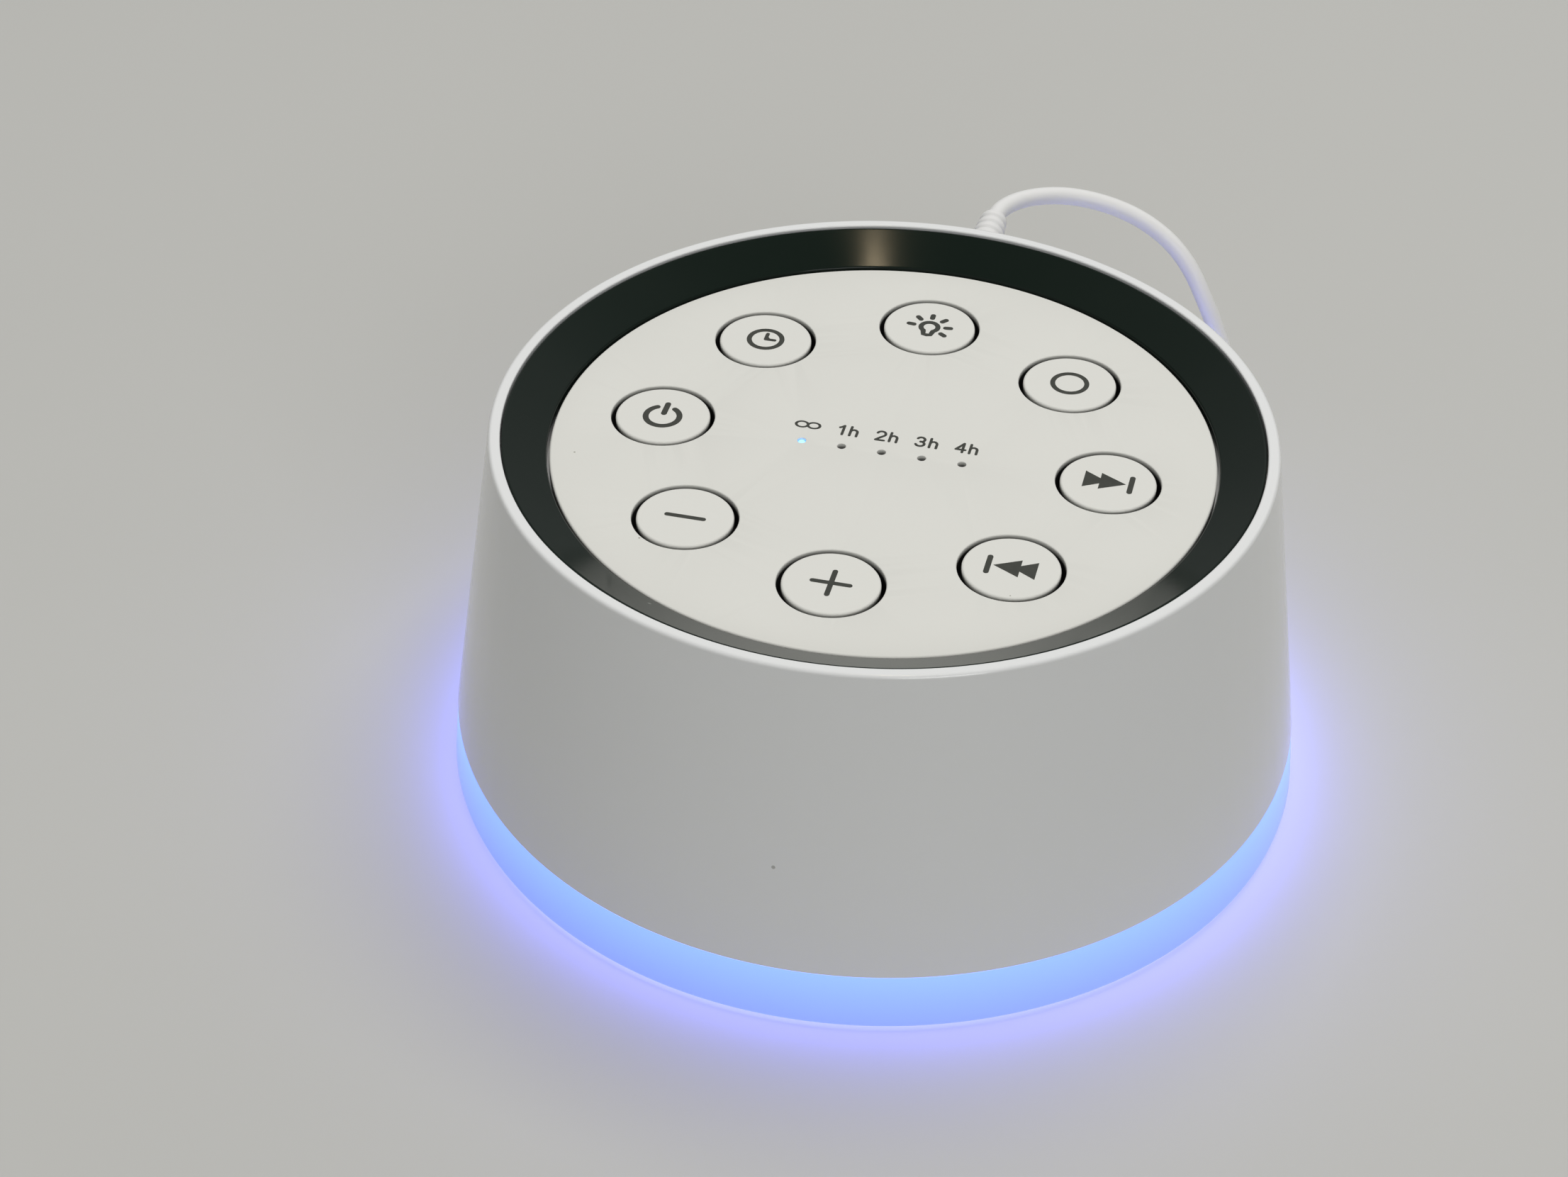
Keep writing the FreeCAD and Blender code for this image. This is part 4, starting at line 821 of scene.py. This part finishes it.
surface.inputs["Patch Colour"].default_value = (0.34, 0.44, 0.74, 1.0)
surface.inputs["Patch Scale"].default_value = 25.0
surface.inputs["Roughness"].default_value = 0.3
tree.links.new(surface.outputs["Colour"], glow.inputs["Base Color"])
tree.links.new(surface.outputs["Roughness"], glow.inputs["Roughness"])
tree.links.new(surface.outputs["Normal"], glow.inputs["Normal"])
where = tree.nodes.new("ShaderNodeTexCoord")
split = tree.nodes.new("ShaderNodeSeparateXYZ")
height = tree.nodes.new("ShaderNodeMapRange")
height.inputs["From Min"].default_value = diffuser_foot * MM
height.inputs["From Max"].default_value = shell_bottom * MM
bands = tree.nodes.new("ShaderNodeValToRGB")
bands.color_ramp.elements[0].color = (0.13, 0.19, 1.0, 1.0)
bands.color_ramp.elements[1].color = (0.19, 0.36, 1.0, 1.0)
tree.links.new(where.outputs["Object"], split.inputs[0])
tree.links.new(split.outputs["Z"], height.inputs["Value"])
tree.links.new(height.outputs[0], bands.inputs[0])
# The band casts more light than it shows, so that its halo on the table is bright while the band
# itself doesn't clip.
seen = tree.nodes.new("ShaderNodeLightPath")
cast = tree.nodes.new("ShaderNodeMix")
cast.data_type = "RGBA"
cast.inputs[6].default_value = (0.25, 0.27, 1.0, 1.0)
tree.links.new(seen.outputs["Is Camera Ray"], cast.inputs[0])
tree.links.new(bands.outputs[0], cast.inputs[7])
tree.links.new(cast.outputs[2], glow.inputs["Emission Color"])
spill = tree.nodes.new("ShaderNodeMapRange")
spill.inputs["To Min"].default_value = 4.2
spill.inputs["To Max"].default_value = 1.0
tree.links.new(seen.outputs["Is Camera Ray"], spill.inputs["Value"])
tree.links.new(spill.outputs[0], glow.inputs["Emission Strength"])
piece("light_band", turned(light_ring_profile, steps=288), light_diffuser,
      stands_for=["light_ring"])

# Base plate, feet and screws: a matt white plate with the loudspeaker's grille, four soft rubber
# pads and countersunk steel screws.
base_white = moulded_material(
    "base_white", (0.74, 0.74, 0.72), (0.70, 0.70, 0.68),
    {"Patch Amount": 0.4, "Patch Scale": 40.0, "Roughness": 0.5, "Roughness Swing": 0.08,
     "Grain Scale": 1200.0, "Grain Depth": 0.5})
foot_rubber = moulded_material(
    "foot_rubber", (0.03, 0.03, 0.032), (0.045, 0.045, 0.046),
    {"Patch Amount": 0.5, "Patch Scale": 300.0, "Roughness": 0.75, "Roughness Swing": 0.1,
     "Grain Scale": 2500.0, "Grain Depth": 0.8})
steel = moulded_material(
    "steel", (0.56, 0.56, 0.57), (0.44, 0.44, 0.45),
    {"Patch Amount": 0.5, "Patch Scale": 250.0, "Roughness": 0.3, "Roughness Swing": 0.15,
     "Grain Scale": 3000.0, "Grain Depth": 0.2}, Metallic=1.0)
dressed("base_plate", base_white)
dressed("rubber_feet", foot_rubber)
for node in ("base_screws", "board_screws", "speaker_screws", "light_board_screws", "speaker_frame",
             "speaker_top_plate", "speaker_yoke"):
    dressed(node, steel)

# Circuit boards, switches, chips and connectors: glass-fibre boards with their solder mask, black
# moulded parts, aluminium capacitors and nylon connectors, all out of sight in the housing.
board_green = moulded_material(
    "circuit_board", (0.010, 0.085, 0.035), (0.016, 0.12, 0.05),
    {"Patch Amount": 0.8, "Patch Scale": 700.0, "Roughness": 0.35,
     "Grain Scale": 1500.0, "Grain Depth": 0.4})
board_white = moulded_material(
    "circuit_board_white", (0.78, 0.78, 0.76), (0.70, 0.70, 0.68),
    {"Patch Amount": 0.6, "Patch Scale": 700.0, "Roughness": 0.35,
     "Grain Scale": 1500.0, "Grain Depth": 0.3})
black_plastic = moulded_material(
    "black_plastic", (0.018, 0.018, 0.019), (0.028, 0.028, 0.028),
    {"Patch Amount": 0.5, "Patch Scale": 500.0, "Roughness": 0.42,
     "Grain Scale": 2500.0, "Grain Depth": 0.5})
can_aluminium = moulded_material(
    "can_aluminium", (0.66, 0.67, 0.68), (0.58, 0.59, 0.60),
    {"Patch Amount": 0.4, "Patch Scale": 300.0, "Roughness": 0.28,
     "Grain Scale": 2500.0, "Grain Depth": 0.2},
    Metallic=1.0)
connector_nylon = moulded_material(
    "connector_white", (0.72, 0.70, 0.62), (0.66, 0.64, 0.56),
    {"Patch Amount": 0.4, "Patch Scale": 300.0, "Roughness": 0.45,
     "Grain Scale": 2500.0, "Grain Depth": 0.3})
for node, finish in (
        ("main_circuit_board", board_green), ("speaker_terminal_strip", board_green),
        ("light_circuit_board", board_white), ("switch_housings", black_plastic),
        ("board_chips", black_plastic),
        ("dc_socket", black_plastic), ("board_capacitors", can_aluminium),
        ("board_connectors", connector_nylon),
        ("dc_socket_pin", nickel)):
    dressed(node, finish)
for name in button_places:
    dressed("plunger_" + name, black_plastic)

# Lamps: small white packages on both boards, and a clear acrylic light guide whose five rods lead
# up into the panel's holes. The first rod is lit.
lamp_resin = moulded_material(
    "lamp_white", (0.72, 0.70, 0.45), (0.66, 0.64, 0.40),
    {"Patch Amount": 0.5, "Patch Scale": 900.0, "Roughness": 0.3,
     "Grain Scale": 2500.0, "Grain Depth": 0.2})
lamp_blue = moulded_material(
    "lamp_blue", (0.45, 0.60, 0.95), (0.40, 0.55, 0.90),
    {"Patch Amount": 0.5, "Patch Scale": 900.0, "Roughness": 0.3,
     "Grain Scale": 2500.0, "Grain Depth": 0.2},
    Emission_Color=(0.25, 0.45, 1.0, 1.0), Emission_Strength=2.0)
guide_clear = moulded_material(
    "clear_plastic", (0.82, 0.84, 0.86), (0.78, 0.80, 0.82),
    {"Patch Amount": 0.3, "Patch Scale": 400.0, "Roughness": 0.12,
     "Grain Scale": 2500.0, "Grain Depth": 0.1},
    IOR=1.49, Transmission_Weight=0.9)
lit_guide = moulded_material(
    "lit_guide", (0.35, 0.60, 0.95), (0.45, 0.70, 1.0),
    {"Patch Amount": 0.5, "Patch Scale": 1500.0, "Roughness": 0.2,
     "Grain Scale": 2500.0, "Grain Depth": 0.1},
    Emission_Color=(0.13, 0.42, 1.0, 1.0), Emission_Strength=1.9)
dressed("timer_leds", lamp_resin)
dressed("light_leds", lamp_blue)
dressed("timer_light_pipe", guide_clear)
window_radius = 0.56
window_foot = 50.15
window_profile = outline([
    (0, 51.25, 0), (0.42, 51.2, 0.1), (window_radius, 50.9, 0.1), (window_radius, window_foot, 0),
    (0, window_foot, 0)], closed=False)
window = turned(window_profile, lamp_spots[0], steps=32, closed=False)
piece("lit_window", window, lit_guide)

# Loudspeaker: ferrite motor, copper coil on a former, black paper cone and cap, rubber surround,
# varnished cloth spider and a foam gasket that seals it to the base.
ferrite = moulded_material(
    "ferrite", (0.035, 0.035, 0.038), (0.055, 0.055, 0.058),
    {"Patch Amount": 0.7, "Patch Scale": 400.0, "Roughness": 0.6,
     "Grain Scale": 1500.0, "Grain Depth": 0.8})
copper = moulded_material(
    "copper_wire", (0.62, 0.24, 0.10), (0.50, 0.17, 0.07),
    {"Patch Amount": 0.6, "Patch Scale": 800.0, "Roughness": 0.3,
     "Grain Scale": 4000.0, "Grain Depth": 0.4},
    Metallic=1.0)
cone_paper = moulded_material(
    "cone_paper", (0.025, 0.025, 0.025), (0.05, 0.05, 0.048),
    {"Patch Amount": 0.8, "Patch Scale": 900.0, "Roughness": 0.85,
     "Grain Scale": 1800.0, "Grain Depth": 1.0})
surround_rubber = moulded_material(
    "surround_rubber", (0.02, 0.02, 0.02), (0.03, 0.03, 0.03),
    {"Patch Amount": 0.5, "Patch Scale": 500.0, "Roughness": 0.6,
     "Grain Scale": 2500.0, "Grain Depth": 0.4})
spider_cloth = moulded_material(
    "spider_cloth", (0.42, 0.25, 0.07), (0.32, 0.18, 0.05),
    {"Patch Amount": 0.7, "Patch Scale": 1200.0, "Roughness": 0.8,
     "Grain Scale": 2500.0, "Grain Depth": 1.0})
gasket_foam = moulded_material(
    "gasket_foam", (0.06, 0.06, 0.06), (0.10, 0.10, 0.10),
    {"Patch Amount": 0.8, "Patch Scale": 900.0, "Roughness": 0.95,
     "Grain Scale": 1500.0, "Grain Depth": 1.0})
for node, finish in (
        ("speaker_magnet", ferrite), ("speaker_voice_coil", copper), ("speaker_cone", cone_paper),
        ("speaker_dust_cap", cone_paper), ("speaker_surround", surround_rubber),
        ("speaker_spider", spider_cloth), ("speaker_gasket", gasket_foam)):
    dressed(node, finish)

# Inner leads: pairs of thin stranded leads with red, black and white sleeves, from the main board
# to loudspeaker, power socket and light board.
for node, sleeve in (("speaker_leads", (0.45, 0.02, 0.015)), ("power_leads", (0.02, 0.02, 0.02)),
                     ("light_leads", (0.70, 0.70, 0.68))):
    worn = tuple(0.8 * channel for channel in sleeve)
    dressed(node, moulded_material(
        node, sleeve, worn,
        {"Patch Amount": 0.4, "Patch Scale": 300.0, "Roughness": 0.4,
         "Grain Scale": 2500.0, "Grain Depth": 0.3}))

# Table and light: a plain pale table top, a broad soft lamp overhead, a weaker one in front and to
# the right, a small warm one that shines in the bezel, and a sky that dims towards both sides.
table_mesh = bpy.data.meshes.new("table")
table_reach = 3
table_mesh.from_pydata([(-table_reach, -table_reach, 0), (table_reach, -table_reach, 0),
                        (table_reach, table_reach, 0), (-table_reach, table_reach, 0)], [], [(0, 1, 2, 3)])
table_paint = moulded_material(
    "table_paint", (0.54, 0.54, 0.515), (0.50, 0.50, 0.475),
    {"Patch Amount": 0.5, "Patch Scale": 9.0, "Roughness": 0.55, "Roughness Swing": 0.08,
     "Grain Scale": 300.0, "Grain Depth": 0.4}, Specular_IOR_Level=0.3)
table_mesh.materials.append(table_paint)
table = bpy.data.objects.new("table", table_mesh)
bpy.context.scene.collection.objects.link(table)


def soft_lamp(name, place, target, width, power, tint=(1.0, 1.0, 1.0)):
    """Square area lamp that faces a target."""
    data = bpy.data.lights.new(name, "AREA")
    data.size = width
    data.energy = power
    data.color = tint
    lamp = bpy.data.objects.new(name, data)
    lamp.location = place
    lamp.rotation_euler = (Vector(target) - Vector(place)).to_track_quat("-Z", "Y").to_euler()
    bpy.context.scene.collection.objects.link(lamp)
    return lamp


ceiling = soft_lamp("ceiling", (0.1, 0.35, 1.6), (0, 0, 0), 1.2, 19.3)
ceiling.visible_glossy = False
soft_lamp("front", (0.75, -1.4, 0.8), (0, 0, 0.02), 0.7, 5.0)
soft_lamp("bulb", (0.04, 0.05, 1.5), (0, 0, 0.05), 0.07, 0.8, (1.0, 0.80, 0.52))
world = bpy.data.worlds.new("room")
world.use_nodes = True
sky = world.node_tree
where = sky.nodes.new("ShaderNodeTexCoord")
split = sky.nodes.new("ShaderNodeSeparateXYZ")
tones = sky.nodes.new("ShaderNodeValToRGB")
ramp = tones.color_ramp
ramp.elements[0].color = (0.22, 0.23, 0.225, 1.0)
ramp.elements[1].color = (0.05, 0.052, 0.048, 1.0)
for position, tone in ((0.25, 0.40), (0.6, 0.62), (0.82, 0.30)):
    ramp.elements.new(position).color = (tone, tone, tone, 1.0)
sky.links.new(where.outputs["Generated"], split.inputs[0])
sky.links.new(split.outputs["Z"], tones.inputs[0])
aside = sky.nodes.new("ShaderNodeMath")
aside.operation = "ABSOLUTE"
walls = sky.nodes.new("ShaderNodeMapRange")
walls.interpolation_type = "SMOOTHSTEP"
walls.inputs["From Min"].default_value = 0.4
walls.inputs["From Max"].default_value = 0.95
walls.inputs["To Min"].default_value = 1.0
walls.inputs["To Max"].default_value = 0.15
dimmed = sky.nodes.new("ShaderNodeVectorMath")
dimmed.operation = "SCALE"
sky.links.new(split.outputs["X"], aside.inputs[0])
sky.links.new(aside.outputs[0], walls.inputs["Value"])
sky.links.new(tones.outputs[0], dimmed.inputs[0])
sky.links.new(walls.outputs[0], dimmed.inputs["Scale"])
sky.links.new(dimmed.outputs[0], sky.nodes["Background"].inputs["Color"])
sky.nodes["Background"].inputs["Strength"].default_value = 0.8
bpy.context.scene.world = world
bpy.context.scene.view_settings.view_transform = "Standard"
